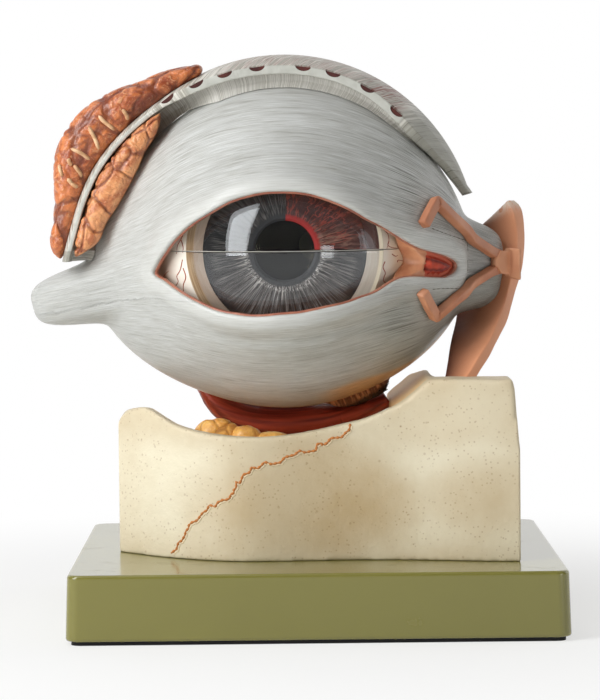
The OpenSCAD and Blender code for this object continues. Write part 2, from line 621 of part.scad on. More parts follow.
module levator_plate() color("lightgray") difference() {
    at_eye() skin([for (ph = plate_turns) plate_section(ph)]);
    at_eye() for (a = notch_angles) rotate([0, -a, 0]) {
        e = curve(plate_edge, a);
        translate([eye_r + e[1] + plate_t / 2, -e[2] - 0.2, 0]) rotate([-90, 0, 0])
            cylinder(r = notch_w, h = notch_depth * 2, $fn = 24);
    }
}
function plate_section(ph) = let (
    e = curve(plate_edge, ph),
    r = eye_r + e[1],
    back_r = max(r + 1.5, eye_r + 20 - plate_t / 2),
    web = smooth((ph - 27) / 12),
    foot = mix(max(0.6 * e[2], e[2] - 3.5), 12.5, smooth((ph - 112) / 16)),
    near = min(1, e[2] / 12),
    w = 3.4 * web + 0.6,
    f1 = foot + 2.2 * web,
    f2 = foot - w,
    under = r - plate_t / 2,
    d1 = mix(under - 0.4, lid_rho(f1, ph) + soft_gap, web),
    d2 = mix(under - 0.4, lid_rho(f2, ph) + soft_gap, web),
    mid = e[2] * 0.55)
    [for (p = [[0, back_r + plate_t / 2], [mid, mix(r, back_r, 0.62) + plate_t / 2], [e[2], r + plate_t / 2],
        [e[2], under], [foot + 0.6 * near, under - 0.1], [foot, mix(under, d1, 0.5)], [f1, d1], [f2, d2],
        [f2 - 0.2 * near, mix(under, d2, 0.5)], [f2 - 1.2 * near, mix(r, back_r, 0.4) - plate_t / 2],
        [f2 - 1.6 * near, mix(r, back_r, 0.5) - plate_t / 2], [0, back_r - plate_t / 2]])
        [p[1] * cos(ph), -p[0], p[1] * sin(ph)]];

// ---- tear gland ----

// Outer lobe, lying on the plate: [angle round, outer radius beyond the eyeball's, depth, half depth].
orbital_keys = [[113, 22.5, 9, 1], [117, 23, 9, 4], [123.7, 27.2, 9, 7], [130, 30.1, 9.5, 8],
    [137, 35.1, 10, 8.5], [143.6, 39.4, 10, 8.5], [150.6, 41.6, 10, 8.5], [156.9, 41.3, 10, 8],
    [162.1, 39, 10, 7.5], [167.1, 36.6, 10, 7], [172.2, 35.8, 10, 6], [177.3, 36.2, 10, 5],
    [182, 34.4, 10, 3]];
// Inner lobe, between the lids and the plate: [angle round, share left free at the lids, depth, half depth].
palpebral_keys = [[133, 0.8, 22, 2], [137, 0.5, 22, 4], [144, 0.27, 22, 5], [151, 0.1, 22, 5.6],
    [158, 0.06, 22, 5.6], [165.3, 0.12, 22, 5.6], [171.4, 0.3, 22, 5], [177.3, 0.38, 22, 4.4],
    [181.5, 0.8, 22, 2]];
function plate_back(ph) = max(eye_r + curve(plate_edge, ph)[1] + 1.5, eye_r + 20 - plate_t / 2);
// Each lobe as rows of [angle round, radius, depth, half height, half depth].
function orbital_row(ph) = let (
    k = curve(orbital_keys, ph),
    out = eye_r + k[1],
    in = plate_back(ph) + plate_t / 2 + soft_gap)
    [ph, (out + in) / 2, k[2], (out - in) / 2, k[3]];
function palpebral_row(ph) = let (
    k = curve(palpebral_keys, ph),
    out = eye_r + curve(plate_edge, ph)[1] - plate_t / 2 - soft_gap,
    in = mix(lid_rho(k[2], ph) + 0.6, out, k[1]))
    [ph, (out + in) / 2, k[2], (out - in) / 2, k[3]];
module lobe(rows, lumps) {
    at_eye() skin([for (i = [0 : len(rows) - 1]) let (k = rows[i])
        [for (j = [0 : 15]) let (
            a = 22.5 * j,
            dent = 0.1 * pow(sin(i * lumps + 50 * cos(a)), 2) * (cos(a) > -0.5 ? 1 : 0.2),
            r = k[1] + k[3] * (1 - dent) * cos(a),
            y = -k[2] + k[4] * (1 - dent) * sin(a))
            [r * cos(k[0]), y, r * sin(k[0])]]]);
}
module gland_orbital() color("chocolate") lobe([for (i = [0 : 34]) orbital_row(mix(113, 182, i / 34))], 77);
module gland_palpebral() color("peru") lobe([for (i = [0 : 28]) palpebral_row(mix(133, 181.5, i / 28))], 83);
// Short ducts on the front of the outer lobe: [angle round, height over the lobe's middle as a share].
duct_spots = [[137, 0.3], [141, -0.3], [145, 0.35], [148.5, -0.2], [152, 0.4], [155.5, -0.25], [160, 0.2]];
duct_r = 0.8;
module gland_ducts() color("tan") at_eye() for (d = duct_spots) {
    k = orbital_row(d[0]);
    r = k[1] + d[1] * k[3];
    front = -k[2] - k[4] * sqrt(1 - d[1] * d[1]) - duct_r - touch;
    c = [r * cos(d[0]), front, r * sin(d[0])];
    along = [cos(d[0] + 62), 0, sin(d[0] + 62)];
    tube([for (n = [-2 : 2]) c + along * n * 1.2 + [0, 0.06 * n * n, 0]],
        [for (n = [-2 : 2]) let (w = abs(n) == 2 ? duct_r / 2 : duct_r) [w, w]], [0, 1, 0], 8);
}

// ---- tear canals and sac ----

canal_lift = 0.9;          // the canals bridge the small hollows of the lids
canal_section = [[-1, 0], [-1, 0.6], [-0.5, 1], [0.5, 1], [1, 0.6], [1, 0]];
// Route of a canal over the lids: [angle out, angle round].
module canal(route) {
    n = 22;
    at_eye() skin([for (i = [0 : n]) let (
        k = curve(route, mix(0, len(route) - 1, i / n)),
        q = curve(route, mix(0, len(route) - 1, min(n, i + 1) / n)),
        o = curve(route, mix(0, len(route) - 1, max(0, i - 1) / n)),
        c = polar(k[1], k[2], 1),
        p = lid_point(k[1], k[2], canal_lift),
        t = unit(lid_point(q[1], q[2], 0) - lid_point(o[1], o[2], 0)),
        s = unit(cross(c, t)),
        w = canal_w / 2)
        [for (q = canal_section) p + s * q[0] * w + c * q[1] * canal_h]]);
}
module canaliculus_upper() color("peru")
    canal([[0, 52.9, 9.9], [1, 56.6, 13.9], [2, 60.9, 17.3], [3, 63.7, 12.8], [4, 67.3, 8.7], [5, 72.6, 4.9],
        [6, 80, 0.2]]);
module canaliculus_lower() color("peru")
    canal([[0, 53.6, -17.4], [1, 57.8, -21.3], [2, 62.7, -24.6], [3, 65.1, -20.5], [4, 68.4, -16.6],
        [5, 73.8, -13.1], [6, 80, -9]]);

// Sac and duct: [share of the way down, front edge x and y, back edge x and y].
// x counts from the eyeball's radius.
sac_top = 18;
sac_end = nasal_top + 0.5;
sac_keys = [[0, 33.6, -1, 26, 11], [0.06, 36, -2, 23, 12], [0.2, 37.2, -3, 20.5, 12.5],
    [0.36, 36.4, -3.5, 18, 12.5], [0.52, 33.4, -4.5, 15, 12.5], [0.7, 28.5, -16, 12.8, 1],
    [0.86, 21.5, -31, 9.4, -17], [1, 14.2, -43, 7.2, -30]];
module lacrimal_sac() color("sienna") at_eye() {
    n = 16;
    skin([for (i = [0 : n]) let (
        k = curve(sac_keys, i / n),
        z = mix(sac_top, sac_end, i / n),
        back_drop = 8 * (1 - smooth(i / n * 3)),
        f = [eye_r + k[1], k[2], z],
        b = [eye_r + k[3], k[4], z - back_drop],
        u = unit(f - b),
        s = unit(cross(u, [0, 0, 1])),
        h = sac_t / 2,
        l = norm(f - b),
        c = 1.4)
        [b + u * c - s * h, f - u * c - s * h, f - s * (h - c), f + s * (h - c),
            f - u * c + s * h, b + u * c + s * h, b + s * (h - c), b - s * (h - c)]]);
    common_canal();
}
// The two canals join in one that runs over the inner stub into the sac's front.
trunk_ph = -4.3;
trunk_w = 4.6;
module common_canal() {
    end = [eye_r + 35, -6, mix(sac_top, sac_end, 0.37)];
    path = concat([for (th = [82 : 1.9 : 87.7]) lid_point(th, trunk_ph, 0.3)], [end]);
    n = unit([0.55, -0.83, 0]);
    skin([for (i = [0 : len(path) - 1]) let (p = path[i], w = i == 0 ? 3.6 : trunk_w)
        [p + [0, 0, -w], p + n * canal_h * 0.6 + [0, 0, -w], p + n * canal_h + [0, 0, -w * 0.6],
            p + n * canal_h + [0, 0, w * 0.6], p + n * canal_h * 0.6 + [0, 0, w], p + [0, 0, w]]]);
}

// ---- the model ----

base_board();
base_pad();
bone_block();
bone_screws();
mounting_bush();
orbit_fat();
support_rod();
sclera_lower();
choroid_lower();
retina_lower();
ciliary_body_lower();
iris_lower();
cornea_lower();
inferior_rectus();
inferior_oblique();
lateral_rectus_lower();
medial_rectus_lower();
optic_nerve();
nerve_sheath();
register_pins();
suspensory_ligament();
sclera_upper();
choroid_upper();
retina_upper();
ciliary_body_upper();
iris_upper();
cornea_upper();
superior_rectus();
superior_oblique();
lateral_rectus_upper();
medial_rectus_upper();
vitreous_body();
lens();
lid_shell();
lid_rim();
caruncle();
plica();
levator_plate();
gland_orbital();
gland_palpebral();
gland_ducts();
canaliculus_upper();
canaliculus_lower();
lacrimal_sac();
lid_pegs();
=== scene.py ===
# %% [markdown]
# # Eye anatomy model
# An enlarged eyeball stands on a piece of orbit bone and a green board. The lids, with the tear organs and
# the levator plate, lift off forwards, and the eyeball opens at its middle plane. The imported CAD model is
# the fixed frame. This script gives every piece its finish, and replaces the painted and cast pieces with
# finer meshes that follow the same rules as the CAD solids.

# %% The frame, and the CAD model's box
import math
import random

import bmesh
import bpy
import numpy as np
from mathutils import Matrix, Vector, noise
from mathutils.bvhtree import BVHTree


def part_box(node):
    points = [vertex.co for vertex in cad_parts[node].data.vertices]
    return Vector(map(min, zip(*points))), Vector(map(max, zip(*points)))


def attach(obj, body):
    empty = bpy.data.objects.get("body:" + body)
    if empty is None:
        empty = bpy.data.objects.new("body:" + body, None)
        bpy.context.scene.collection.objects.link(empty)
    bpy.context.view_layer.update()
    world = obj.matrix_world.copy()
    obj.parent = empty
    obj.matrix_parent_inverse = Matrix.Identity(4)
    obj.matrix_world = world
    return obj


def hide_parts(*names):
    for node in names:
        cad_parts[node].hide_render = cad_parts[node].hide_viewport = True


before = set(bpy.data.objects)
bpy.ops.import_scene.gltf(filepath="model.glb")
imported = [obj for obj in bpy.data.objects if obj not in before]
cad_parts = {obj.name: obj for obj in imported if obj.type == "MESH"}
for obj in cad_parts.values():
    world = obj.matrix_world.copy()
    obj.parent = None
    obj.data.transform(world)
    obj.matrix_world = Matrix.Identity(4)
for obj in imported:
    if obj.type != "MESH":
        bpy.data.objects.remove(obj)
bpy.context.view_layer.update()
MM = 0.001


def box_mm(node):
    """Lowest and highest corner of a CAD node, in millimetres."""
    low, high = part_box(node)
    return np.array(low) / MM, np.array(high) / MM


# %% Sizes read from the frame
upper_low, upper_high = box_mm("sclera_upper")
lens_low, lens_high = box_mm("lens")
iris_low, iris_high = box_mm("iris_lower")
cornea_low, cornea_high = box_mm("cornea_lower")
board_low, board_high = box_mm("base_board")
bone_high = box_mm("bone_block")[1]
EYE_R = upper_high[1]
EYE = np.array([(upper_low[0] + upper_high[0]) / 2, 0, (lens_low[2] + lens_high[2]) / 2])
IRIS_Y = iris_low[1]
IRIS_R = (iris_high[0] - iris_low[0]) / 2
LIMBUS_R = (cornea_high[0] - cornea_low[0]) / 2
LIMBUS_Y = cornea_high[1]
CORNEA_TIP = cornea_low[1]
print("eye centre", EYE.round(2), "radius", round(EYE_R, 2), "limbus", round(LIMBUS_R, 2))

# %% [markdown]
# ## Camera
# A long lens in front of the model, a little above it and looking slightly down. Its place was found from
# the board's corners, the bone and the eyeball. The photograph is 600 pixels wide, so the focal length in
# pixels becomes a lens in millimetres on a sensor 36 mm wide, held to the picture's width.

# %% Camera
PHOTO_W = 600
FOCAL_PX = 3169.25
CAMERA_AT = (-9.81, -1267.15, 176.81)
PITCH_DOWN, YAW_RIGHT, ROLL = 3.234, 0.187, -0.578


def make_camera():
    data = bpy.data.cameras.new("camera")
    data.sensor_fit = "HORIZONTAL"
    data.sensor_width = 36
    data.lens = FOCAL_PX / PHOTO_W * data.sensor_width
    data.clip_end = 50
    camera = bpy.data.objects.new("camera", data)
    bpy.context.scene.collection.objects.link(camera)
    pitch, yaw, roll = (math.radians(a) for a in (PITCH_DOWN, YAW_RIGHT, ROLL))
    ahead = Vector((math.sin(yaw) * math.cos(pitch), math.cos(yaw) * math.cos(pitch), -math.sin(pitch)))
    right = ahead.cross(Vector((0, 0, 1))).normalized()
    up = right.cross(ahead)
    side = right * math.cos(roll) + up * math.sin(roll)
    top = up * math.cos(roll) - right * math.sin(roll)
    place = camera.matrix_world.copy()
    for row in range(3):
        place[row][0], place[row][1], place[row][2] = side[row], top[row], -ahead[row]
        place[row][3] = CAMERA_AT[row] * MM
    camera.matrix_world = place
    bpy.context.scene.camera = camera
    return camera


make_camera()

# %% [markdown]
# ## Node trees as expressions
# Materials and geometry trees are both made of nodes. A small class wraps a socket, so that sums on sockets
# read like sums on numbers, and one method adds any other node with its settings and inputs.


# %% Sockets with arithmetic, and trees
class Val:
    """An output socket in a tree, with arithmetic that adds Math nodes."""

    def __init__(self, tree, socket):
        self.tree = tree
        self.socket = socket

    def math(self, operation, other, turned=False):
        pair = (other, self) if turned else (self, other)
        return self.tree.node("ShaderNodeMath", {"operation": operation}, dict(enumerate(pair)))

    def __add__(self, other):
        return self.math("ADD", other)

    def __sub__(self, other):
        return self.math("SUBTRACT", other)

    def __mul__(self, other):
        return self.math("MULTIPLY", other)

    def __truediv__(self, other):
        return self.math("DIVIDE", other)

    def __rsub__(self, other):
        return self.math("SUBTRACT", other, True)

    def __rtruediv__(self, other):
        return self.math("DIVIDE", other, True)

    def __pow__(self, other):
        return self.math("POWER", other)

    __radd__ = __add__
    __rmul__ = __mul__


class Tree:
    """A node tree. node() adds a node of any type and gives one of its outputs."""

    def __init__(self, tree):
        self.tree = tree

    def node(self, kind, settings=None, inputs=None, out=0):
        made = self.tree.nodes.new(kind)
        for name, value in (settings or {}).items():
            if name == "stops":
                self.set_ramp(made.color_ramp, value)
            else:
                setattr(made, name, value)
        for key, value in (inputs or {}).items():
            self.put(made.inputs[key], value)
        return Val(self, made.outputs[out])

    def put(self, socket, value):
        if isinstance(value, Val):
            self.tree.links.new(value.socket, socket)
        elif socket.type == "RGBA" and len(value) == 3:
            socket.default_value = (*value, 1)
        else:
            socket.default_value = value

    def set_ramp(self, ramp, stops):
        while len(ramp.elements) < len(stops):
            ramp.elements.new(0.5)
        for element, (at, colour) in zip(ramp.elements, stops):
            element.position = at
            element.color = (*colour, 1)


def shade(*display):
    """A colour as it looks on the screen, turned into the linear value that Blender wants."""
    return tuple(c / 12.92 if c < 0.04045 else ((c + 0.055) / 1.055) ** 2.4 for c in display)


print("tree helpers ready")


# %% [markdown]
# A finish is a material with one Principled shader. Patterns read Object coordinates, so they stay on the
# piece in every pose, and they feed only the colour, the roughness and a bump.


# %% Finishes
class Finish(Tree):
    """A material's tree round its Principled shader."""

    def __init__(self, name):
        self.material = bpy.data.materials.new(name)
        self.material.use_nodes = True
        super().__init__(self.material.node_tree)
        self.shader = self.tree.nodes["Principled BSDF"]
        self.where = self.node("ShaderNodeTexCoord", out=3)

    def set(self, **values):
        for name, value in values.items():
            self.put(self.shader.inputs[name.replace("_", " ").title().replace("Ior", "IOR")], value)
        return self

    def noise(self, scale, detail=3, vector=None, rough=0.5, distortion=0):
        """Soft random variation from 0 to 1; scale is in cycles per metre on Object coordinates."""
        inputs = {"Scale": scale, "Detail": detail, "Roughness": rough, "Distortion": distortion}
        inputs["Vector"] = self.where if vector is None else vector
        return self.node("ShaderNodeTexNoise", None, inputs)

    def spots(self, scale, vector=None, feature="F1", out=0):
        """Distance to the nearest of many scattered points."""
        inputs = {"Scale": scale, "Vector": self.where if vector is None else vector}
        return self.node("ShaderNodeTexVoronoi", {"feature": feature}, inputs, out)

    def fade(self, value, start, end):
        """0 at start, 1 at end, smooth between."""
        inputs = {"Value": value, 1: start, 2: end, 3: 0.0, 4: 1.0}
        return self.node("ShaderNodeMapRange", {"interpolation_type": "SMOOTHSTEP"}, inputs)

    def blend(self, fac, a, b, kind="MIX"):
        """Colour a where fac is 0 and b where it is 1."""
        return self.node("ShaderNodeMix", {"data_type": "RGBA", "blend_type": kind}, {0: fac, 6: a, 7: b}, 2)

    def axes(self, vector=None):
        """The three parts of a vector."""
        parts = self.node("ShaderNodeSeparateXYZ", None, {0: self.where if vector is None else vector})
        return [Val(self, parts.socket.node.outputs[i]) for i in range(3)]

    def join(self, x, y, z):
        return self.node("ShaderNodeCombineXYZ", None, {0: x, 1: y, 2: z})

    def mark(self, name, out=2):
        """A value that was stored on the mesh."""
        return self.node("ShaderNodeAttribute", {"attribute_name": name}, None, out)

    def bump(self, height, distance, strength=1.0):
        """Relief of the given height in metres where height goes from 0 to 1."""
        inputs = {"Height": height, "Distance": distance, "Strength": strength}
        self.put(self.shader.inputs["Normal"], self.node("ShaderNodeBump", None, inputs))
        return self


def plain(name, colour, rough, metal=0.0, coat=0.0, grain=600, depth=0.00003, vary=0.08):
    """A simple finish: one colour with faint variation and a faint grain."""
    f = Finish(name)
    tone = f.noise(grain * 0.12, 4)
    dark = tuple(c * (1 - vary * 2) for c in colour)
    grained = f.noise(grain, 3)
    f.set(base_color=f.blend(tone, dark, colour), roughness=f.fade(grained, -2.0, 3.0) * 0.2 + (rough - 0.1))
    f.set(metallic=metal, coat_weight=coat)
    return f.bump(grained, depth).material


print("finish helpers ready")

# %% [markdown]
# ## Meshes from rings
# Most pieces of this model are round-ended bodies: a row of closed rings, skinned and capped. Numpy makes
# the rings from the same short rules that the CAD source uses, only with more of them.


# %% Curves and rings
def smooth(t):
    c = np.clip(t, 0, 1)
    return c * c * (3 - 2 * c)


def mix(a, b, t):
    return a + (b - a) * t


def bump(x, w, p):
    """A rounded plateau of half width w round zero; p sets how square it is."""
    return np.exp(-((np.abs(x) / w) ** p))


def turn(angle):
    """The same angle between -180 and 180."""
    return angle - 360 * np.floor((angle + 180) / 360)


def curve(keys, x):
    """A smooth curve through rows of [x, value, ...], read at x; one column for each value."""
    k = np.array(keys, float)
    x = np.atleast_1d(np.asarray(x, float))
    last = len(k) - 1
    i = np.clip(np.searchsorted(k[:, 0], x, side="right") - 1, 0, last - 1)

    def slope(j):
        before, after = k[np.maximum(0, j - 1)], k[np.minimum(last, j + 1)]
        return (after - before) / (after[:, :1] - before[:, :1])

    a, b = k[i], k[i + 1]
    h = b[:, :1] - a[:, :1]
    t = np.clip((x[:, None] - a[:, :1]) / h, 0, 1)
    rise = a * (2 * t**3 - 3 * t**2 + 1) + b * (3 * t**2 - 2 * t**3)
    return (rise + slope(i) * h * (t**3 - 2 * t**2 + t) + slope(i + 1) * h * (t**3 - t**2))[:, 1:]


def polar(th, ph, r):
    """A point th degrees out from the eye's axis and ph degrees round it, from the eye's centre."""
    th, ph = np.radians(th), np.radians(ph)
    return np.stack([r * np.sin(th) * np.cos(ph), -r * np.cos(th), r * np.sin(th) * np.sin(ph)], -1)


def round_axis(radius, depth, ph):
    """A point by its distance from the eye's axis, its depth towards the back and its angle round."""
    ph = np.radians(ph)
    return np.stack([radius * np.cos(ph), depth + 0 * radius, radius * np.sin(ph)], -1)


def make_piece(name, points, faces, marks=None):
    """A mesh object from points in millimetres, with its faces turned outwards and shaded smooth."""
    mesh = bpy.data.meshes.new(name)
    mesh.from_pydata((np.asarray(points) * MM).tolist(), [], faces)
    tidy = bmesh.new()
    tidy.from_mesh(mesh)
    bmesh.ops.recalc_face_normals(tidy, faces=tidy.faces)
    tidy.to_mesh(mesh)
    tidy.free()
    mesh.shade_smooth()
    for key, values in (marks or {}).items():
        values = np.asarray(values, float)
        wide = values.ndim == 2
        layer = mesh.attributes.new(key, "FLOAT_VECTOR" if wide else "FLOAT", "POINT")
        layer.data.foreach_set("vector" if wide else "value", values.ravel())
    piece = bpy.data.objects.new(name, mesh)
    bpy.context.scene.collection.objects.link(piece)
    return piece


def skin(name, rings, loop=False, marks=None):
    """Skins rings of points, an array of rings by points by 3. Without loop the two ends are capped."""
    rings = np.asarray(rings, float)
    n, m = rings.shape[:2]
    row = np.arange(m)
    after = (row + 1) % m
    faces = []
    for i in range(n if loop else n - 1):
        here, there = i * m, ((i + 1) % n) * m
        faces += np.stack([here + row, here + after, there + after, there + row], 1).tolist()
    points = rings.reshape(-1, 3)
    marks = {k: np.asarray(v, float).reshape((n * m,) + np.shape(v)[2:]) for k, v in (marks or {}).items()}
    if not loop:
        points = np.vstack([points, rings[0].mean(0), rings[-1].mean(0)])
        faces += [[n * m, int(a), int(b)] for a, b in zip(after, row)]
        faces += [[n * m + 1, (n - 1) * m + int(a), (n - 1) * m + int(b)] for a, b in zip(row, after)]
        marks = {k: np.concatenate([v, v[:1], v[-1:]]) for k, v in marks.items()}
    return make_piece(name, points, faces, marks)


def slab(name, top, bottom, marks=None):
    """A solid between two sheets of points, arrays of rows by columns by 3, closed along its borders."""
    n, m = top.shape[:2]
    at = np.arange(n * m).reshape(n, m)
    sheet = np.stack([at[:-1, :-1], at[:-1, 1:], at[1:, 1:], at[1:, :-1]], -1).reshape(-1, 4)
    border = np.concatenate([at[0, :-1], at[:-1, -1], at[-1, :0:-1], at[:0:-1, 0]])
    after = np.roll(border, -1)
    wall = np.stack([border, after, after + n * m, border + n * m], -1)
    faces = np.concatenate([sheet, sheet[:, ::-1] + n * m, wall]).tolist()
    marks = {k: np.concatenate([v.ravel(), 0 * v.ravel()]) for k, v in (marks or {}).items()}
    return make_piece(name, np.concatenate([top.reshape(-1, 3), bottom.reshape(-1, 3)]), faces, marks)


def finish_piece(piece, body, slot, material, *nodes):
    """Gives a piece its finish, hangs it on the empty of the body it rides with, and hides the CAD nodes it
    stands for.
    """
    piece.data.materials.clear()
    piece.data.materials.append(material)
    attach(piece, body)
    if nodes:
        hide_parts(*nodes)
    return piece


def paint_node(material, *nodes):
    """A CAD piece keeps its mesh and takes a finish."""
    for node in nodes:
        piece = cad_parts[node]
        piece.data.materials.clear()
        piece.data.materials.append(material)


def apply_modifiers(piece):
    """Puts the evaluated mesh in place of the plain one, and drops the modifiers."""
    depsgraph = bpy.context.evaluated_depsgraph_get()
    done = bpy.data.meshes.new_from_object(piece.evaluated_get(depsgraph))
    piece.modifiers.clear()
    piece.data = done
    return piece


print("mesh helpers ready")

# %% [markdown]
# ## Lines and little bodies with Geometry Nodes
# Painted vessels, the bone's suture and the fine seams are thin threads half sunk in a surface. They are
# drawn as chains of edges with a thickness at every point, and one Geometry Nodes tree turns the chains
# into tubes. As real geometry they stay crisp in every view.


# %% A tree that turns chains of edges into tubes
def thread_tree():
    group = bpy.data.node_groups.new("threads", "GeometryNodeTree")
    face = group.interface
    face.new_socket("Geometry", in_out="INPUT", socket_type="NodeSocketGeometry")
    face.new_socket("Sides", in_out="INPUT", socket_type="NodeSocketInt")
    face.new_socket("Material", in_out="INPUT", socket_type="NodeSocketMaterial")
    face.new_socket("Geometry", in_out="OUTPUT", socket_type="NodeSocketGeometry")
    t = Tree(group)
    given = group.nodes.new("NodeGroupInput")
    chain, sides, material = (Val(t, given.outputs[i]) for i in range(3))
    thick = t.node("GeometryNodeInputNamedAttribute", {"data_type": "FLOAT"}, {"Name": "thick"})
    ring = t.node("GeometryNodeCurvePrimitiveCircle", None, {"Resolution": sides, "Radius": 1.0})
    line = t.node("GeometryNodeMeshToCurve", None, {"Mesh": chain})
    inputs = {"Curve": line, "Profile Curve": ring, "Scale": thick, "Fill Caps": True}
    tube = t.node("GeometryNodeCurveToMesh", None, inputs)
    shaded = t.node("GeometryNodeSetShadeSmooth", None, {"Geometry": tube})
    solid = t.node("GeometryNodeRealizeInstances", None, {"Geometry": shaded})
    done = t.node("GeometryNodeSetMaterial", None, {"Geometry": solid, "Material": material})
    out = group.nodes.new("NodeGroupOutput")
    t.put(out.inputs[0], done)
    return group


def set_inputs(modifier, **values):
    """Sets a Geometry Nodes modifier's inputs by the identifiers of their sockets."""
    for item in modifier.node_group.interface.items_tree:
        if item.in_out == "INPUT" and item.name.lower() in values:
            modifier[item.identifier] = values[item.name.lower()]


THREADS = thread_tree()


def threads(name, lines, material, sides=6):
    """Tubes along lines; a line is a list of points in millimetres, each with its radius as a fourth."""
    points = [p for line in lines for p in line]
    edges = []
    start = 0
    for line in lines:
        edges += [(start + i, start + i + 1) for i in range(len(line) - 1)]
        start += len(line)
    mesh = bpy.data.meshes.new(name)
    mesh.from_pydata([tuple(c * MM for c in p[:3]) for p in points], edges, [])
    layer = mesh.attributes.new("thick", "FLOAT", "POINT")
    layer.data.foreach_set("value", [p[3] * MM for p in points])
    piece = bpy.data.objects.new(name, mesh)
    bpy.context.scene.collection.objects.link(piece)
    modifier = piece.modifiers.new("threads", "NODES")
    modifier.node_group = THREADS
    set_inputs(modifier, sides=sides, material=material)
    return apply_modifiers(piece)


print("thread tree has", len(THREADS.nodes), "nodes")

# %% [markdown]
# ## Floor, world and lamps
# A pale floor that turns white where the camera sees it far from the model, and a world that is white
# behind the model and dark in front, as in a studio, so that the clear cornea stays clear. Metal, glass
# and gloss see that white background too. One large lamp on the left models the shapes and gives the
# bright patch on the cornea, one lights from above, a weak one fills from the right, and a small low one
# lifts the shadows under the lids.


# %% Which rays are shown the white background
def background_rays(t):
    """Two switches: the rays that come straight from the camera, and those in a mirror or through glass."""
    path = t.tree.nodes.new("ShaderNodeLightPath")
    kinds = ("Camera", "Glossy", "Transmission")
    straight, mirrored, through = [Val(t, path.outputs[f"Is {kind} Ray"]) for kind in kinds]
    return straight, mirrored.math("MAXIMUM", through)


# %% Floor
def make_floor():
    size = 4.0
    mesh = bpy.data.meshes.new("floor")
    corners = [(-size, -size, 0), (size, -size, 0), (size, size, 0), (-size, size, 0)]
    mesh.from_pydata(corners, [], [(0, 1, 2, 3)])
    floor = bpy.data.objects.new("floor", mesh)
    bpy.context.scene.collection.objects.link(floor)
    f = Finish("floor_paper")
    f.set(base_color=shade(0.97, 0.97, 0.96), roughness=0.9, specular_ior_level=0.1)
    straight, bent = background_rays(f)
    x, y, unused = f.axes()
    away = f.fade((x * x + y * y) ** 0.5, 0.11, 0.4)
    white = f.node("ShaderNodeEmission", None, {"Color": (1, 1, 1), "Strength": 1.0})
    factor = (straight + bent) * (away * 0.4 + 0.6)
    surface = f.node("ShaderNodeMixShader", None, {0: factor, 1: Val(f, f.shader.outputs[0]), 2: white})
    f.put(f.tree.nodes["Material Output"].inputs["Surface"], surface)
    mesh.materials.append(f.material)


make_floor()


# %% World and lamps
def make_world():
    world = bpy.data.worlds.new("studio")
    bpy.context.scene.world = world
    world.use_nodes = True
    t = Tree(world.node_tree)
    t.tree.nodes.clear()
    straight, bent = background_rays(t)
    towards = t.node("ShaderNodeSeparateXYZ", None, {0: t.node("ShaderNodeTexCoord", out=0)})
    away = Val(t, towards.socket.node.outputs[1])
    high = Val(t, towards.socket.node.outputs[2])
    smooth_step = {"interpolation_type": "SMOOTHSTEP"}
    behind = t.node("ShaderNodeMapRange", smooth_step, {0: away, 1: 0.3, 2: 0.85})
    above = t.node("ShaderNodeMapRange", smooth_step, {0: high, 1: 0.2, 2: 0.9})
    ambient = behind * 0.6 + above * 0.15 + 0.1
    shown = straight + bent * behind
    strength = shown * (1.0 - ambient) + ambient
    sky = t.node("ShaderNodeBackground", None, {"Color": (1, 1, 1), "Strength": strength})
    out = t.tree.nodes.new("ShaderNodeOutputWorld")
    t.put(out.inputs["Surface"], sky)


def lamp(name, at, aim, size, watts, colour=(1, 1, 1)):
    """A rectangular lamp at a point, in metres, that faces another."""
    data = bpy.data.lights.new(name, "AREA")
    data.shape = "RECTANGLE"
    data.size, data.size_y = size
    data.energy = watts
    data.color = colour
    lit = bpy.data.objects.new(name, data)
    bpy.context.scene.collection.objects.link(lit)
    lit.location = at
    lit.rotation_euler = (Vector(aim) - Vector(at)).to_track_quat("-Z", "Y").to_euler()
    return lit


make_world()


# %% The key lamp, which is also the window on the cornea
def key_lamp():
    """Places the main lamp where the cornea mirrors it at the bright patch, seen from the camera."""
    dome_r = (LIMBUS_R**2 + (LIMBUS_Y - CORNEA_TIP) ** 2) / (2 * (LIMBUS_Y - CORNEA_TIP))
    centre = EYE + np.array([0, CORNEA_TIP + dome_r, 0])
    patch_x, patch_z = -17.5, 9.5
    spot = centre + np.array([patch_x, -math.sqrt(dome_r**2 - patch_x**2 - patch_z**2), patch_z])
    normal = (spot - centre) / dome_r
    look = spot - np.array(CAMERA_AT)
    look /= np.linalg.norm(look)
    mirrored = look - 2 * look.dot(normal) * normal
    at = (spot + mirrored * 900) * MM
    lamp("key", tuple(at), tuple(spot * MM), (0.42, 0.95), 9.3, (0.98, 0.99, 1))


key_lamp()
lamp("top", (-0.35, -0.25, 1.3), (0, 0, 0.12), (0.8, 0.6), 2.2)
lamp("fill", (1.25, 0.35, 0.5), (0, 0, 0.12), (0.7, 0.9), 2.9)
lamp("low", (0.75, -0.75, 0.05), (0.02, 0, 0.11), (0.25, 0.35), 1.3)
bpy.context.scene.view_settings.view_transform = "Standard"
print("stage set")

# %% [markdown]
# ## The board
# The stand is a hollow moulded plastic board, olive green and polished, on a thin black non-slip pad. A
# row of rounded rectangles is skinned from the room inside, round the lower edge and over the top. The
# rounded rings at the edges give the soft highlights that a moulded edge has.


# %% Rounded rectangles
def round_rect(half_x, half_y, radius, z, steps=8):
    """A ring of points round a rectangle with rounded corners."""
    ring = []
    for corner in range(4):
        cx = (half_x - radius) * (1, -1, -1, 1)[corner]
        cy = (half_y - radius) * (1, 1, -1, -1)[corner]
        for i in range(steps + 1):
            a = math.radians(90 * (corner + i / steps))
            ring.append((cx + radius * math.cos(a), cy + radius * math.sin(a), z))
    return ring


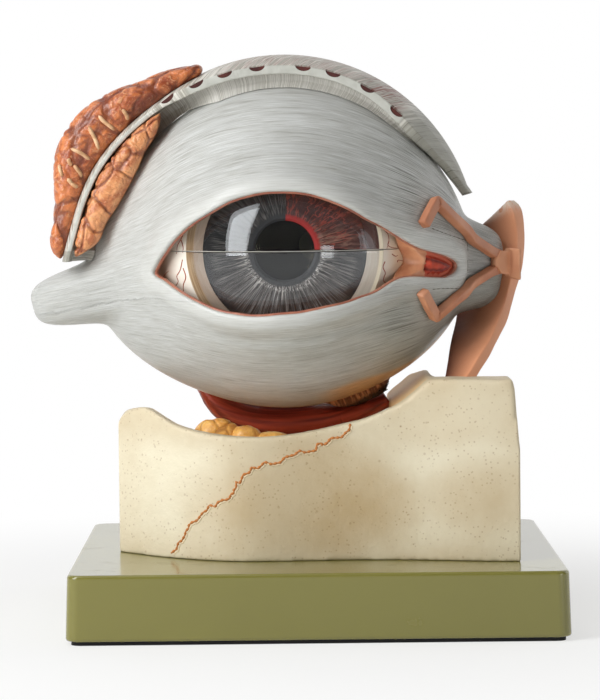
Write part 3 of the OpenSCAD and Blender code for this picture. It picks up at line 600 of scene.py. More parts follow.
BOARD_X = board_high[0]
BOARD_Y = board_high[1]
BOARD_TOP = board_high[2]
BOARD_R = 5.0
BOARD_EDGE = 1.2
DRAFT = 0.7


# %% Board
def make_board():
    low, top = board_low[2], BOARD_TOP
    wall = 4.5
    levels = (top - wall, top - wall - 0.1, low + 0.1, low)
    rings = [round_rect(BOARD_X - wall, BOARD_Y - wall, 1, z) for z in levels]
    rings += [round_rect(BOARD_X - d, BOARD_Y - d, BOARD_R, z) for d, z in ((1, low), (0.3, low + 0.3))]
    rings += [round_rect(BOARD_X, BOARD_Y, BOARD_R, low + d) for d in (1, 1.4)]
    for lift in (BOARD_EDGE + 0.4, BOARD_EDGE):
        rings.append(round_rect(BOARD_X - DRAFT, BOARD_Y - DRAFT, BOARD_R, top - lift))
    for step in range(1, 6):
        a = math.radians(18 * step)
        inset = DRAFT + BOARD_EDGE * (1 - math.cos(a))
        level = top - BOARD_EDGE * (1 - math.sin(a))
        rings.append(round_rect(BOARD_X - inset, BOARD_Y - inset, BOARD_R, level))
    flat_x, flat_y = BOARD_X - DRAFT - BOARD_EDGE - 0.6, BOARD_Y - DRAFT - BOARD_EDGE - 0.6
    rings.append(round_rect(flat_x, flat_y, BOARD_R, top))
    return skin("board", rings)


def board_finish():
    """Moulded olive plastic: an even colour, polished, with faint flow marks and rubbed spots."""
    f = Finish("board_green")
    cloud = f.noise(14, 4)
    rubbed = f.fade(f.noise(60, 5, rough=0.7), 0.55, 0.8)
    colour = f.blend(cloud, shade(0.47, 0.45, 0.20), shade(0.51, 0.49, 0.23))
    f.set(base_color=colour, roughness=rubbed * 0.12 + 0.2, coat_weight=0.4, coat_roughness=0.12)
    return f.bump(f.noise(500, 2), 0.00001).material


finish_piece(make_board(), "base", "board_green", board_finish(), "base_board")
paint_node(plain("pad_rubber", shade(0.06, 0.06, 0.06), 0.85, grain=1500, depth=0.0001), "base_pad")
print("board", round(2 * BOARD_X), "x", round(2 * BOARD_Y), "mm")

# %% [markdown]
# ## The orbit bone
# A cast block of cream plastic, brown in the middle, which is partly spray and partly painted shade under the
# eyeball, with fine speckles and one painted suture. The CAD solid is cut from a plan and a front outline.
# Here both are smooth curves through the same points, and a Boolean cut gives the hollow over the orbit
# floor. A voxel remesh followed by smoothing then rounds every rim, as on a casting, which bevels on such an
# irregular body would not do evenly.

# %% Outlines of the bone
BONE_LOW = 48.0
RIM_Z = BOARD_TOP + BONE_LOW
BONE_PEAK = 10.3
NASAL_RISE = bone_high[2] - RIM_Z
FLOOR_Z = RIM_Z - 5
BACK = 40.0
plan_front = [[-78, -15], [-68.5, -25.5], [-57, -37.5], [-41, -47.8], [-24.5, -53], [3, -49.8],
    [35, -50.8], [57, -57], [78, -60]]
left_rim = [[-79, -0.15], [-78.3, 0.25], [-76.5, 0.6], [-73, 0.86], [-68.5, 1], [-65, 0.95], [-60.8, 0.74],
    [-56.9, 0.53], [-53, 0.36], [-45, 0.18], [-35, 0.05], [-22, 0]]
right_rim = [[-10, 0.03], [0, 0.1], [10, 0.2], [19, 0.3], [27, 0.45], [33, 0.58], [39, 0.8], [43, 0.96],
    [46.5, 0.995], [60, 1], [71.5, 0.985], [75.5, 0.96], [77, 0.3], [78, -0.2]]


def smooth_line(points, steps=6):
    """A smooth line through points in a plane, with some points more between each pair."""
    keys = [[i, *p] for i, p in enumerate(points)]
    at = np.arange(0, (len(points) - 1) * steps + 1) / steps
    return curve(keys, at)


def prism(name, outline, low, high, axis):
    """A solid with a flat outline, drawn out along an axis from low to high."""
    outline = np.asarray(outline, float)
    n = len(outline)
    ends = [np.insert(outline, "xyz".index(axis), h, axis=1) for h in (low, high)]
    faces = [list(range(n)), list(range(2 * n - 1, n - 1, -1))]
    faces += [[i, (i + 1) % n, n + (i + 1) % n, n + i] for i in range(n)]
    return make_piece(name, np.vstack(ends), faces)


print("bone rim", round(RIM_Z, 1), "peak", round(BONE_PEAK, 1))


# %% Bone block
def cut(piece, tool, operation="DIFFERENCE"):
    """A Boolean modifier that is applied at once; the tool is dropped."""
    modifier = piece.modifiers.new("cut", "BOOLEAN")
    modifier.operation, modifier.object, modifier.solver = operation, tool, "EXACT"
    apply_modifiers(piece)
    bpy.data.objects.remove(tool)
    return piece


def inset(points, d):
    points = np.asarray(points, float)
    return points * (1 - d / np.linalg.norm(points, axis=1))[:, None]


def fall_back(body, x_from, x_to, y, z):
    """Lets the top of the bone slope down behind a line, so that it hides behind its front edge."""
    outline = [(y, z), (60, z - 0.11 * (60 - y)), (60, 130), (y, 130)]
    cut(body, prism("slope", outline, x_from, x_to, "x"))


def make_bone():
    front = smooth_line(plan_front)
    for unused in range(14):
        front[1:-1] = (front[:-2] + 2 * front[1:-1] + front[2:]) / 4
    body = prism("orbit_bone", np.vstack([front, [[80, BACK], [-80, BACK]]]), BOARD_TOP, 120, "z")
    rise = np.array([[x, RIM_Z + s * BONE_PEAK] for x, s in left_rim])
    rise = np.vstack([rise, [[x, RIM_Z + s * NASAL_RISE] for x, s in right_rim]])
    profile = np.vstack([[[-80, BOARD_TOP - 5]], smooth_line(rise, 4), [[79, BOARD_TOP - 5]]])
    cut(body, prism("profile", profile, -90, 90, "y"), "INTERSECT")
    room_front = smooth_line(inset(plan_front[1:7], 9), 6)
    room = np.vstack([[[-69, BACK + 9], [-69, -12]], room_front, [[30, BACK + 9]]])
    cut(body, prism("room", room, FLOOR_Z, 130, "z"))
    top = RIM_Z + NASAL_RISE
    nose_corner = [(29, top - 13), (29, 130), (46, 130), (46, top + 1), (43, top)]
    cut(body, prism("chamfer", nose_corner, -43, 60, "y"))
    fall_back(body, -90, -50, -24, RIM_Z + BONE_PEAK)
    fall_back(body, 28, 47, 4, top + 0.1)
    fall_back(body, 46, 90, -40, top + 0.1)
    for kind, settings in (("REMESH", {"mode": "VOXEL", "voxel_size": 0.95 * MM}),
            ("SMOOTH", {"factor": 0.5, "iterations": 7})):
        modifier = body.modifiers.new(kind.lower(), kind)
        for key, value in settings.items():
            setattr(modifier, key, value)
    apply_modifiers(body)
    points = np.empty(len(body.data.vertices) * 3)
    body.data.vertices.foreach_get("co", points)
    x, y, z = points.reshape(-1, 3).T / MM
    behind_rim = smooth((y - np.interp(x, front[:, 0], front[:, 1]) - 7) / 1.5)
    room_side = smooth((x + 70.5) / 1.5) * smooth((46 - x) / 6) * smooth((z - FLOOR_Z + 1) / 1)
    layer = body.data.attributes.new("room", "FLOAT", "POINT")
    layer.data.foreach_set("value", behind_rim * room_side)
    body.data.shade_smooth()
    return body


# %% Bone finish
def bone_finish():
    """Cream casting plastic: brown in the middle, partly spray and partly painted shade under the eyeball;
    tan in the room; speckled.
    """
    f = Finish("bone_paint")
    x, unused, z = f.axes()
    cloud = f.noise(22, 5, rough=0.6)
    speck = f.fade(f.spots(560), 0.26, 0.10) * f.fade(f.noise(60, 2), 0.34, 0.56)
    big_speck = f.fade(f.spots(190), 0.13, 0.05)
    # The brown middle, below the eyeball, is partly sprayed paint and partly painted shade.
    middle = f.fade((x + 0.004) * (x + 0.004) * 0.45 + (z - 0.050) * (z - 0.050) * 2.0, 0.0015, 0.0)
    nose_side = f.fade((x - 0.062) * (x - 0.062) + (z - 0.052) * (z - 0.052) * 1.6, 0.0006, 0.0)
    foot = f.fade(z, 0.040, 0.028) * 0.18 + f.fade(z - x * x, 0.062, 0.074) * 0.25
    brown = middle * 0.55 + nose_side * 0.3 + foot + f.fade(cloud, 0.35, 0.75) * 0.3
    colour = f.blend(brown, shade(0.905, 0.87, 0.77), shade(0.70, 0.58, 0.38))
    tan = f.blend(cloud, shade(0.88, 0.68, 0.42), shade(0.96, 0.82, 0.60))
    colour = f.blend(f.mark("room") * 0.8, colour, tan)
    colour = f.blend(speck * 0.4 + big_speck * 0.3, colour, shade(0.56, 0.41, 0.23))
    f.set(base_color=colour, roughness=cloud * 0.2 + 0.42, specular_ior_level=0.4)
    return f.bump(f.noise(260, 5, rough=0.6) * 0.6 + cloud * 0.8, 0.0005).material


finish_piece(make_bone(), "base", "bone", bone_finish(), "bone_block")
print("bone block made")

# %% [markdown]
# ## The lids
# The two lids are one moulded shell of grey tarsal plate and fibres, with a stub of ligament at each end.
# The surface is a sphere that bulges over the cornea and grows out into the stubs. Numpy computes the same
# rule as the CAD source on a much finer grid, rounds the lips, and adds the roll along the margins. Each
# point also stores where it lies between the two stubs, so that painted fibres can run from stub to stub.

# %% The lids' rule
LID_T = 3.0
LID_R = EYE_R + 3.5 + LID_T
LID_BULGE = -CORNEA_TIP + 0.4 + LID_T - LID_R
margin_keys = [[-10.5, 64], [-8.5, 68], [-5.5, 69.5], [-3, 64], [0, 53.5], [6, 45], [18.5, 32.7], [28, 28],
    [44, 23.5], [62, 21], [91, 19.7], [120, 21.8], [137, 25], [153, 29.5], [166, 36.9], [180, 47.5],
    [186, 53], [190, 55.9], [193.5, 51], [200, 45], [210, 37.5], [222, 31.3], [234, 26.5], [258, 21.5],
    [277, 20.6], [305, 23], [326, 30.3], [336, 37.7], [345, 45.2], [348, 52], [349.5, 64]]


def lid_margin(ph):
    ph = np.asarray(ph, float)
    a = np.where(ph < -10.5, ph + 360, np.where(ph > 349.5, ph - 360, ph))
    return curve(margin_keys, a.ravel())[:, 0].reshape(ph.shape)


def lid_edge(ph):
    return 88 - 10 * bump(turn(ph - 90), 60, 4)


def lid_base(th, ph):
    return (LID_R + LID_BULGE * bump(th, 35, 4)
        + 15 * bump(turn(ph - 190), 38, 2) * smooth((th - 55) / 30)
        + 11 * bump(turn(ph + 8), 40, 2) * smooth((th - 40) / 35)
        + 4 * bump(turn(ph - 90), 60, 4) * smooth((th - 40) / 30))


def lid_out(th, ph):
    return (lid_base(th, ph)
        + 25 * bump(turn(ph - 192.5), 7.5, 4) * smooth((th - 70) / 18)
        + 14 * bump(turn(ph + 6), 13, 6) * smooth((th - 75) / 15))


def at_eye(points):
    return np.asarray(points, float) + EYE


print("lids' radius", LID_R, "bulge", round(LID_BULGE, 2))

# %% Fine grid of the lids
LIP = 1.1
ROUND = 1 - np.cos(np.radians([0, 18, 36, 54, 72, 90]))
DIP = 1 - np.sqrt(1 - (1 - ROUND) ** 2)
lid_turns = np.concatenate([np.arange(-14, 8, 0.5), np.arange(8, 168, 1.0), np.arange(168, 214, 0.6),
    np.arange(214, 346, 1.0)])


def margin_distance(points):
    """Distance in millimetres from points on the lids to the line of the lid margin."""
    ph = np.linspace(-14, 346, 1441)
    line = polar(lid_margin(ph), ph, lid_base(lid_margin(ph), ph))
    flat = points.reshape(-1, 3)
    gap = np.empty(len(flat))
    for i in range(0, len(flat), 4000):
        part = flat[i:i + 4000]
        gap[i:i + 4000] = np.sqrt(((part[:, None] - line[None]) ** 2).sum(-1).min(1))
    return gap.reshape(points.shape[:-1])


def lid_relief(gap, ph):
    """The roll along the margins, the fold above the nose side and a shallow gutter below the lower margin,
    in millimetres.
    """
    roll = 0.75 * np.exp(-(((gap - 4.6) / 3.2) ** 2))
    fold = 0.9 * np.exp(-(((gap - 11.5) / 2.8) ** 2)) * bump(turn(ph - 48), 36, 4)
    gutter = 0.5 * np.exp(-(((gap - 12) / 3) ** 2)) * bump(turn(ph - 285), 60, 4)
    return roll - fold - gutter


def fibre_flow(th, ph):
    """Where a point lies between the two stubs: across the fibres and along them."""
    x, z = th * np.cos(np.radians(ph)), th * np.sin(np.radians(ph))
    ends = [(110, 192), (100, -6)]
    gaps = []
    for e_th, e_ph in ends:
        gaps.append((x - e_th * math.cos(math.radians(e_ph)), z - e_th * math.sin(math.radians(e_ph))))
    (ax, az), (bx, bz) = gaps
    across = np.arctan2(ax * bz - az * bx, ax * bx + az * bz)
    along = np.log(np.hypot(ax, az) / np.hypot(bx, bz))
    return across, along


def make_lids():
    ph = lid_turns[:, None]
    a, e = lid_margin(ph), lid_edge(ph)
    lip = math.degrees(LIP / LID_R)
    middle = np.linspace(0, 1, 96)[1:-1][None]
    th = np.hstack([a + lip * ROUND, a + lip + (e - a - 2 * lip) * middle, e - lip * ROUND[::-1]])
    dip = np.hstack([DIP, 0 * middle[0], DIP[::-1]])[None] * LIP
    outer = polar(th, ph, lid_out(th, ph) - dip)
    gap = margin_distance(outer)
    outer = polar(th, ph, lid_out(th, ph) - dip + lid_relief(gap, ph) * (dip == 0))
    steps = np.linspace(0, 1, 40)[1:-1][None]
    th_in = np.hstack([a + lip * ROUND / 2, a + lip + (e - a - 2 * lip) * steps, e - lip * ROUND[::-1] / 2])
    th_in = th_in[:, ::-1]
    dip_in = np.hstack([DIP, 0 * steps[0], DIP[::-1]])[None] * LIP / 2
    inner = polar(th_in, ph, lid_base(th_in, ph) - LID_T + dip_in)
    rings = np.concatenate([outer, inner], 1)
    across, along = fibre_flow(np.hstack([th, th_in]), ph)
    flow = np.stack([across, along, 0 * across], -1)
    inside = np.hstack([0 * th, 0 * th_in + 1])
    turns = turn(np.hstack([th, th_in]) * 0 + ph)
    hem = smooth((np.hstack([th, th_in]) - 76) / 12) * bump(turn(turns + 85), 52, 4)
    ledge_from = 76 - 14 * smooth((-turns - 33) / 32)
    ledge = smooth((np.hstack([th, th_in]) - ledge_from) / 5) * bump(turns + 50, 25, 8)
    # Closeness to the margin, which carries a painted highlight on the roll.
    rim = np.exp(-((np.hstack([gap, 0 * th_in + 99]) / 7) ** 2))
    marks = {"flow": flow, "inside": inside, "hem": hem, "ledge": ledge, "rim": rim}
    return skin("lids", at_eye(rings), loop=True, marks=marks)


print("lid grid", len(lid_turns), "sections")


# %% Lids' finish
def lid_finish():
    """Pale grey paint with long fibres drawn from stub to stub, a painted highlight along the margins, and a
    tan wash towards the lower edge.
    """
    f = Finish("lid_paint")
    across, along, unused = f.axes(f.mark("flow", 1))
    broad = f.noise(1, 2, f.join(across * 20, along * 2, 1.0))
    strand = f.noise(1, 3, f.join(across * 110, along * 3.5, 4.0))
    fine = f.noise(1, 2, f.join(across * 300, along * 9, 9.0))
    tone = broad * 0.2 + strand * 0.4 + fine * 0.4
    greys = shade(0.54, 0.53, 0.49), shade(0.72, 0.72, 0.70), shade(0.82, 0.825, 0.815)
    stops = list(zip((0.28, 0.44, 0.62), greys))
    colour = f.node("ShaderNodeValToRGB", {"stops": stops}, {0: tone})
    nose = f.fade(along, 0.25, 1.1)
    hair = f.fade(f.noise(1, 2, f.join(across * 190, along * 2.6, 15.0)), 0.52, 0.60)
    thick_hair = f.fade(f.noise(1, 1, f.join(across * 75, along * 1.6, 21.0)), 0.58, 0.64)
    colour = f.blend(nose * f.fade(across, -0.2, -0.5) * 0.5, colour, shade(0.56, 0.57, 0.52))
    colour = f.blend((hair * 0.6 + thick_hair * 0.4) * (nose * 0.75 + 0.18), colour, shade(0.36, 0.36, 0.32))
    # A lighter band along the margins is a painted highlight on their roll.
    colour = f.blend(f.mark("rim") * 0.55, colour, shade(0.85, 0.85, 0.83))
    colour = f.blend(f.mark("hem") * (strand * 0.7 + 0.45), colour, shade(0.82, 0.64, 0.42))
    tan = f.blend(f.fade(fine, 0.35, 0.6), shade(0.72, 0.56, 0.38), shade(0.92, 0.77, 0.58))
    colour = f.blend(f.mark("ledge") * 0.9, colour, tan)
    inside = f.mark("inside")
    lining = f.blend(f.noise(70, 4), shade(0.80, 0.62, 0.44), shade(0.86, 0.70, 0.52))
    f.set(base_color=f.blend(inside, colour, lining), roughness=fine * 0.25 + 0.3, coat_weight=0.15)
    relief = strand * 0.5 + fine * 0.35 + f.noise(400, 2) * 0.15
    return f.bump(relief * (1 - inside * 0.7), 0.0004).material


LID_PAINT = lid_finish()
finish_piece(make_lids(), "lids", "lid_grey", LID_PAINT, "lid_shell")
print("lids made")

# %% [markdown]
# ## The white of the eye
# The sclera halves keep their CAD meshes, because a sphere is a sphere. Their paint is cream, turning tan
# towards the nose, partly paint and partly painted shade of the corner, and dark brown in the outer corner as
# painted shade under the lids. On the flat ring under the cornea's edge it is banded brown on the outer side,
# grey on the inner side and dark red where the cornea's quadrant is shown cut away.


# %% Distances in a shader
def eye_axes(f):
    """The shader's point from the eye's centre in millimetres: across, depth, height, distance off axis."""
    x, y, z = f.axes()
    x, y, z = ((v - float(c * MM)) * 1000.0 for v, c in zip((x, y, z), EYE))
    return x, y, z, (x * x + z * z) ** 0.5


def red_quadrant(f, x, z):
    """1 in the upper quadrant on the nose side."""
    return f.fade(x - z * 0.035, -0.1, 0.1) * f.fade(z, 0.0, 0.1)


def band(f, value, start, end, soft=0.3):
    """1 between start and end, with soft edges."""
    return f.fade(value, start - soft, start + soft) * f.fade(value, end + soft, end - soft)


# %% Sclera
def sclera_finish():
    f = Finish("sclera_paint")
    x, y, z, rho = eye_axes(f)
    cloud = f.noise(45, 4)
    white = f.blend(cloud, shade(0.97, 0.955, 0.92), shade(0.92, 0.885, 0.82))
    # Tan towards the nose: partly paint and partly painted shade in the fissure's corner.
    corner = f.fade(x + cloud * 5.0, 38, 52) * f.fade(y, -5, -25)
    colour = f.blend(corner * 0.8, white, shade(0.86, 0.70, 0.50))
    # Dark brown in the outer corner: painted shade under the lids.
    outer_corner_shade = f.fade(x * -1.0 + cloud * 6.0, 42, 54) * f.fade(y, -2, -20)
    colour = f.blend(outer_corner_shade, colour, shade(0.62, 0.44, 0.32))
    colour = f.blend(f.fade(y + cloud * 12.0, -5, 30) * 0.5, colour, shade(0.86, 0.78, 0.66))
    ringed = f.noise(1, 3, f.join(rho * 1.6, z * 0.05, 2.0))
    brown = f.blend(f.fade(ringed, 0.35, 0.65), shade(0.60, 0.48, 0.34), shade(0.76, 0.65, 0.51))
    grey = f.blend(ringed, shade(0.66, 0.58, 0.51), shade(0.74, 0.67, 0.60))
    left = f.blend(f.fade(rho, 35.0, 35.6), grey, brown)
    nose = f.blend(ringed, shade(0.70, 0.66, 0.60), shade(0.83, 0.80, 0.75))
    limbus = f.blend(f.fade(x, -6, 6), left, nose)
    red = red_quadrant(f, x, z)
    limbus = f.blend(red, limbus, shade(0.24, 0.085, 0.07))
    limbus = f.blend(f.fade(rho, 36.4, 36.7) * f.fade(x, 0, 10), limbus, shade(0.90, 0.86, 0.76))
    on_ring = f.fade(y, -42.2, -42.35) * f.fade(rho, 38.4, 38.1)
    f.set(base_color=f.blend(on_ring, colour, limbus), roughness=cloud * 0.15 + 0.22, coat_weight=0.35)
    f.set(coat_roughness=0.1)
    return f.bump(f.noise(300, 3) * 0.3 + cloud, 0.0002).material


paint_node(sclera_finish(), "sclera_lower", "sclera_upper")
print("sclera painted")

# %% [markdown]
# Blood vessels are painted on the white near both corners. Each is a thread half sunk in the surface. Its
# route was traced as a flat drawing, and a ray along the depth finds where each point lies on the sphere.

# %% Vessels on the white
left_vessels = [
    [(-38.9, 7.5), (-40.1, 4.6), (-41.5, 2.3), (-42.0, -1.0)],
    [(-40.1, 4.6), (-39.3, 1.6), (-39.5, -0.6)],
    [(-39.6, -3.2), (-40.6, -7.3), (-42.0, -9.7), (-41.5, -11.8), (-42.9, -14.1), (-42.4, -16.0),
        (-43.4, -17.9)],
    [(-39.4, -6.5), (-38.4, -9.9), (-39.4, -12.9), (-39.4, -15.7), (-38.8, -17.9), (-35.9, -18.6),
        (-33.3, -20.0), (-31.8, -21.0)],
    [(-42.4, -16.0), (-40.8, -15.0), (-39.4, -15.7)],
    [(-48.2, -12.5), (-47.3, -9.8), (-45.3, -7.7)],
    [(-52.1, -7.7), (-49.6, -6.1), (-47.2, -3.8)]]
right_vessels = [
    [(37.9, 9.9), (38.8, 7.5), (40.0, 5.7), (40.3, 3.1), (39.5, 0.3)],
    [(40.3, 3.1), (39.9, 1.6), (41.5, 0.6), (43.9, 0.3)],
    [(38.7, -4.7), (37.9, -6.9), (38.8, -9.2), (38.0, -11.8), (39.2, -13.3), (41.0, -14.0), (40.4, -15.3)],
    [(43.7, -5.2), (44.0, -4.4), (45.9, -4.7)],
    [(41.5, -1.9), (42.9, -2.8), (43.9, -2.5)],
    [(35.9, -16.4), (37.9, -14.7), (39.8, -15.1), (42.2, -13.6), (44.5, -12.7), (46.2, -11.5)],
    [(36.5, -17.2), (39.2, -15.9), (41.0, -14.0)]]


def on_ball(line, radius, thick):
    """Points across and up from the eye's centre, put on the front of a ball, smoothed and thinning out."""
    path = smooth_line(line, 5)
    done = []
    for i, (x, z) in enumerate(path):
        y = -math.sqrt(max(0, radius**2 - x * x - z * z))
        done.append((x + EYE[0], y, z + EYE[2], thick * (1 - 0.6 * i / len(path))))
    return done


def split_at_seam(lines):
    """The lines, or parts of lines, above the middle plane and those below it."""
    upper, lower = [], []
    for line in lines:
        run = []
        for point in line:
            if run and (point[2] > EYE[2]) != (run[-1][2] > EYE[2]):
                (upper if run[-1][2] > EYE[2] else lower).append(run)
                run = []
            run.append(point)
        (upper if run[-1][2] > EYE[2] else lower).append(run)
    return [[line for line in part if len(line) > 1] for part in (upper, lower)]


def vessel_finish(name, dark, light):
    f = Finish(name)
    f.set(base_color=f.blend(f.noise(150, 2), dark, light), roughness=0.35, coat_weight=0.2)
    return f.material


VESSEL = vessel_finish("vessel_paint", shade(0.55, 0.20, 0.12), shade(0.72, 0.36, 0.22))
vessel_lines = [on_ball(line, EYE_R, 0.24) for line in left_vessels]
vessel_lines += [on_ball(line, EYE_R, 0.22) for line in right_vessels]
for half, lines in zip(("upper", "lower"), split_at_seam(vessel_lines)):
    finish_piece(threads("vessels_" + half, lines, VESSEL), "eye_" + half, "sclera", VESSEL)
print(len(vessel_lines), "vessels")

# %% [markdown]
# ## Iris
# Each half of the iris is a flat ring with shallow folds that run out from the pupil. The grid is polar, so
# the folds are real relief, and the paint reads the distance from the axis and the direction round it. A
# direction goes into the noise as its cosine and sine, so the pattern has no seam.

# %% Iris mesh
PUPIL_R = 11.5
IRIS_T = 1.3


def make_iris(name, sign):
    start = math.degrees(math.asin(0.15 / IRIS_R))
    ph = sign * np.linspace(start, 180 - start, 541)[:, None]
    rho = np.concatenate([[PUPIL_R, PUPIL_R + 0.35, PUPIL_R + 0.8], np.linspace(PUPIL_R + 1.2, IRIS_R, 56)])
    folds = np.zeros((len(ph), len(rho)))
    for i, a in enumerate(np.radians(ph[:, 0])):
        for j, r in enumerate(rho):
            folds[i, j] = noise.noise((math.cos(a) * 15, math.sin(a) * 15, r * 0.12))
    ramp = smooth((rho - 13) / 3) * smooth((IRIS_R - rho) / 3)
    hollow = -0.35 * np.exp(-(((rho - 15.5) / 1.6) ** 2)) * ramp
    lip = np.concatenate([[1.0, 0.45, 0.12], np.zeros(56)])
    front = IRIS_Y + lip + 0.45 + (folds * 0.45 + hollow) * ramp
    front_rho = np.maximum(rho[None] + 0 * ph, 0.15 / np.maximum(np.abs(np.sin(np.radians(ph))), 1e-6))
    top = round_axis(front_rho, front, ph)
    back_rho = front_rho[:, [-1, 0]]
    back = round_axis(back_rho, IRIS_Y + IRIS_T + 0 * back_rho, ph)
    return skin(name, at_eye(np.concatenate([top, back], 1)))


print("iris radius", round(IRIS_R, 2))


# %% Iris paint
def iris_finish(name, with_red):
    f = Finish(name)
    x, unused, z, rho = eye_axes(f)
    cx, cz = x / rho, z / rho
    streak = f.noise(1, 4, f.join(cx * 96.0, cz * 96.0, rho * 0.10), rough=0.6)
    wide = f.noise(1, 2, f.join(cx * 11.0, cz * 11.0, rho * 0.09 + 7.0))
    short = f.noise(1, 2, f.join(cx * 58.0, cz * 58.0, rho * 0.8 + 3.0))
    cloud = f.noise(110, 3)
    ground = f.blend(wide, shade(0.02, 0.025, 0.035), shade(0.09, 0.09, 0.10))
    ground = f.blend(f.fade(z, -2, -24) * 0.85, ground, shade(0.27, 0.215, 0.19))
    inner = band(f, rho + wide * 5.0, 16.5, 22.0, 2.5)
    fibre_zone = inner * 0.6 + band(f, rho + wide * 5.0, 17.0, 31.0, 2.0) * 0.4
    fibre = f.fade(streak, 0.50, 0.57) * fibre_zone * (f.fade(z, 10, -8) * 0.4 + 0.6)
    colour = f.blend(fibre, ground, f.blend(wide, shade(0.54, 0.54, 0.55), shade(0.76, 0.73, 0.69)))
    gap = f.fade(f.noise(1, 2, f.join(cx * 40.0, cz * 40.0, rho * 0.05 + 11.0)), 0.54, 0.62)
    colour = f.blend(gap * 0.7, colour, shade(0.06, 0.055, 0.06))
    dashes = f.fade(short, 0.54, 0.60) * band(f, rho + cloud * 1.6, 14.4, 17.0, 0.8) * f.fade(z, 8, -6)
    colour = f.blend(dashes * 0.8, colour, shade(0.86, 0.85, 0.83))
    sphincter = f.blend(streak, shade(0.10, 0.105, 0.115), shade(0.20, 0.205, 0.22))
    colour = f.blend(f.fade(rho, 14.4, 13.6), colour, sphincter)
    colour = f.blend(f.fade(rho + wide * 2.0, 30.0, 32.0) * 0.85, colour, shade(0.10, 0.10, 0.11))
    if with_red:
        colour = f.blend(red_quadrant(f, x, z), colour, red_paint(f, x, z, rho, cx, cz))
    f.set(base_color=colour, roughness=streak * 0.2 + 0.4)
    return f.bump(streak * 0.6 + short * 0.4, 0.0002).material


def red_paint(f, x, z, rho, cx, cz):
    """The cut quadrant: dark red with wavy radial vessels and a bright ring round the pupil."""
    wave = f.noise(1, 2, f.join(x * 0.22, z * 0.22, 1.0)) * 2.6
    vein = f.noise(1, 2, f.join(cx * 11.0 + wave, cz * 11.0, rho * 0.09))
    line = f.fade((vein - 0.5) * (vein - 0.5), 0.0011, 0.0)
    fine = f.noise(1, 3, f.join(cx * 30.0 + wave, cz * 30.0, rho * 0.15 + 5.0))
    ground = f.blend(f.noise(90, 3), shade(0.17, 0.05, 0.04), shade(0.32, 0.13, 0.10))
    colour = f.blend(f.fade(fine, 0.5, 0.7) * 0.4, ground, shade(0.42, 0.20, 0.16))
    colour = f.blend(line * (f.fade(rho, 36, 20) * 0.6 + 0.2), colour, shade(0.62, 0.24, 0.17))
    tan = f.fade(z, 13, 2) * f.fade(x, 33, 20) * f.fade(fine, 0.42, 0.62)
    colour = f.blend(tan * 0.6, colour, shade(0.66, 0.50, 0.42))
    ring = f.fade(rho + fine * 1.5, 15.2, 13.8)
    return f.blend(ring, colour, shade(0.68, 0.10, 0.07))


finish_piece(make_iris("iris_half_lower", -1), "eye_lower", "iris_blue", iris_finish("iris_paint", False),
    "iris_lower")
finish_piece(make_iris("iris_half_upper", 1), "eye_upper", "iris_cut", iris_finish("iris_cut_paint", True),
    "iris_upper")
print("iris halves made")

# %% [markdown]
# ## Cornea, lens and vitreous body
# These are clear casting plastic, and the vitreous body carries a grey tint that is painted shade, so that
# the pupil stays dark. Real refraction needs many samples and turns to grain, so a clear piece is a mix of a
# transparent shader and a polished one, and Fresnel says how much mirrors at each angle. The cornea is
# rebuilt as a fine dome, because a mirror shows every facet. Where its halves meet, a thin bright thread is a
# painted highlight on the cut edges, and a dark one beside it is the seam's painted shadow.


# %% Clear plastic
def clear_finish(name, colour, ior=1.4, rough=0.03, most=0.045, tint=(1, 1, 1)):
    f = Finish(name)
    f.set(base_color=colour, roughness=rough, specular_ior_level=1.0, metallic=1.0)
    clear = f.node("ShaderNodeBsdfTransparent", None, {"Color": tint})
    gloss = f.node("ShaderNodeFresnel", None, {"IOR": ior}).math("MINIMUM", most)
    grain = f.fade(f.noise(900, 2), 0.3, 0.7) * most * 0.1
    mixed = f.node("ShaderNodeMixShader", None, {0: gloss + grain, 1: clear, 2: Val(f, f.shader.outputs[0])})
    f.put(f.tree.nodes["Material Output"].inputs["Surface"], mixed)
    return f.material


# %% Cornea
CORNEA_T = 2.0


def make_cornea(name, sign):
    rise = LIMBUS_Y - CORNEA_TIP
    r_out = (LIMBUS_R**2 + rise**2) / (2 * rise)
    centre = CORNEA_TIP + r_out
    rings = []
    for ph in sign * np.linspace(0, 180, 181):
        section = []
        for r, order in ((r_out, 1), (r_out - CORNEA_T, -1)):
            last = math.degrees(math.acos((centre - LIMBUS_Y) / r))
            th = np.linspace(0, last, 49)[::order]
            section.append(polar(th, ph, r) + [0, centre, 0])
        rings.append(np.vstack(section))
    rings = np.array(rings)
    rings[..., 2] = sign * np.maximum(sign * rings[..., 2], 0.15)
    return skin(name, at_eye(rings))


def seam_line(z):
    """A thread over the dome beside the middle plane, from side to side."""
    rise = LIMBUS_Y - CORNEA_TIP
    r = (LIMBUS_R**2 + rise**2) / (2 * rise)
    last = math.degrees(math.acos(1 - rise / r))
    path = [polar(abs(a), 0 if a > 0 else 180, r) for a in np.linspace(-last, last, 80)]
    return [(p[0] + EYE[0], p[1] + CORNEA_TIP + r, z + EYE[2], 0.14) for p in path]


CLEAR = clear_finish("cornea_clear", (0.95, 0.98, 1.0))
finish_piece(make_cornea("cornea_half_lower", -1), "eye_lower", "cornea", CLEAR, "cornea_lower")
finish_piece(make_cornea("cornea_half_upper", 1), "eye_upper", "cornea", CLEAR, "cornea_upper")
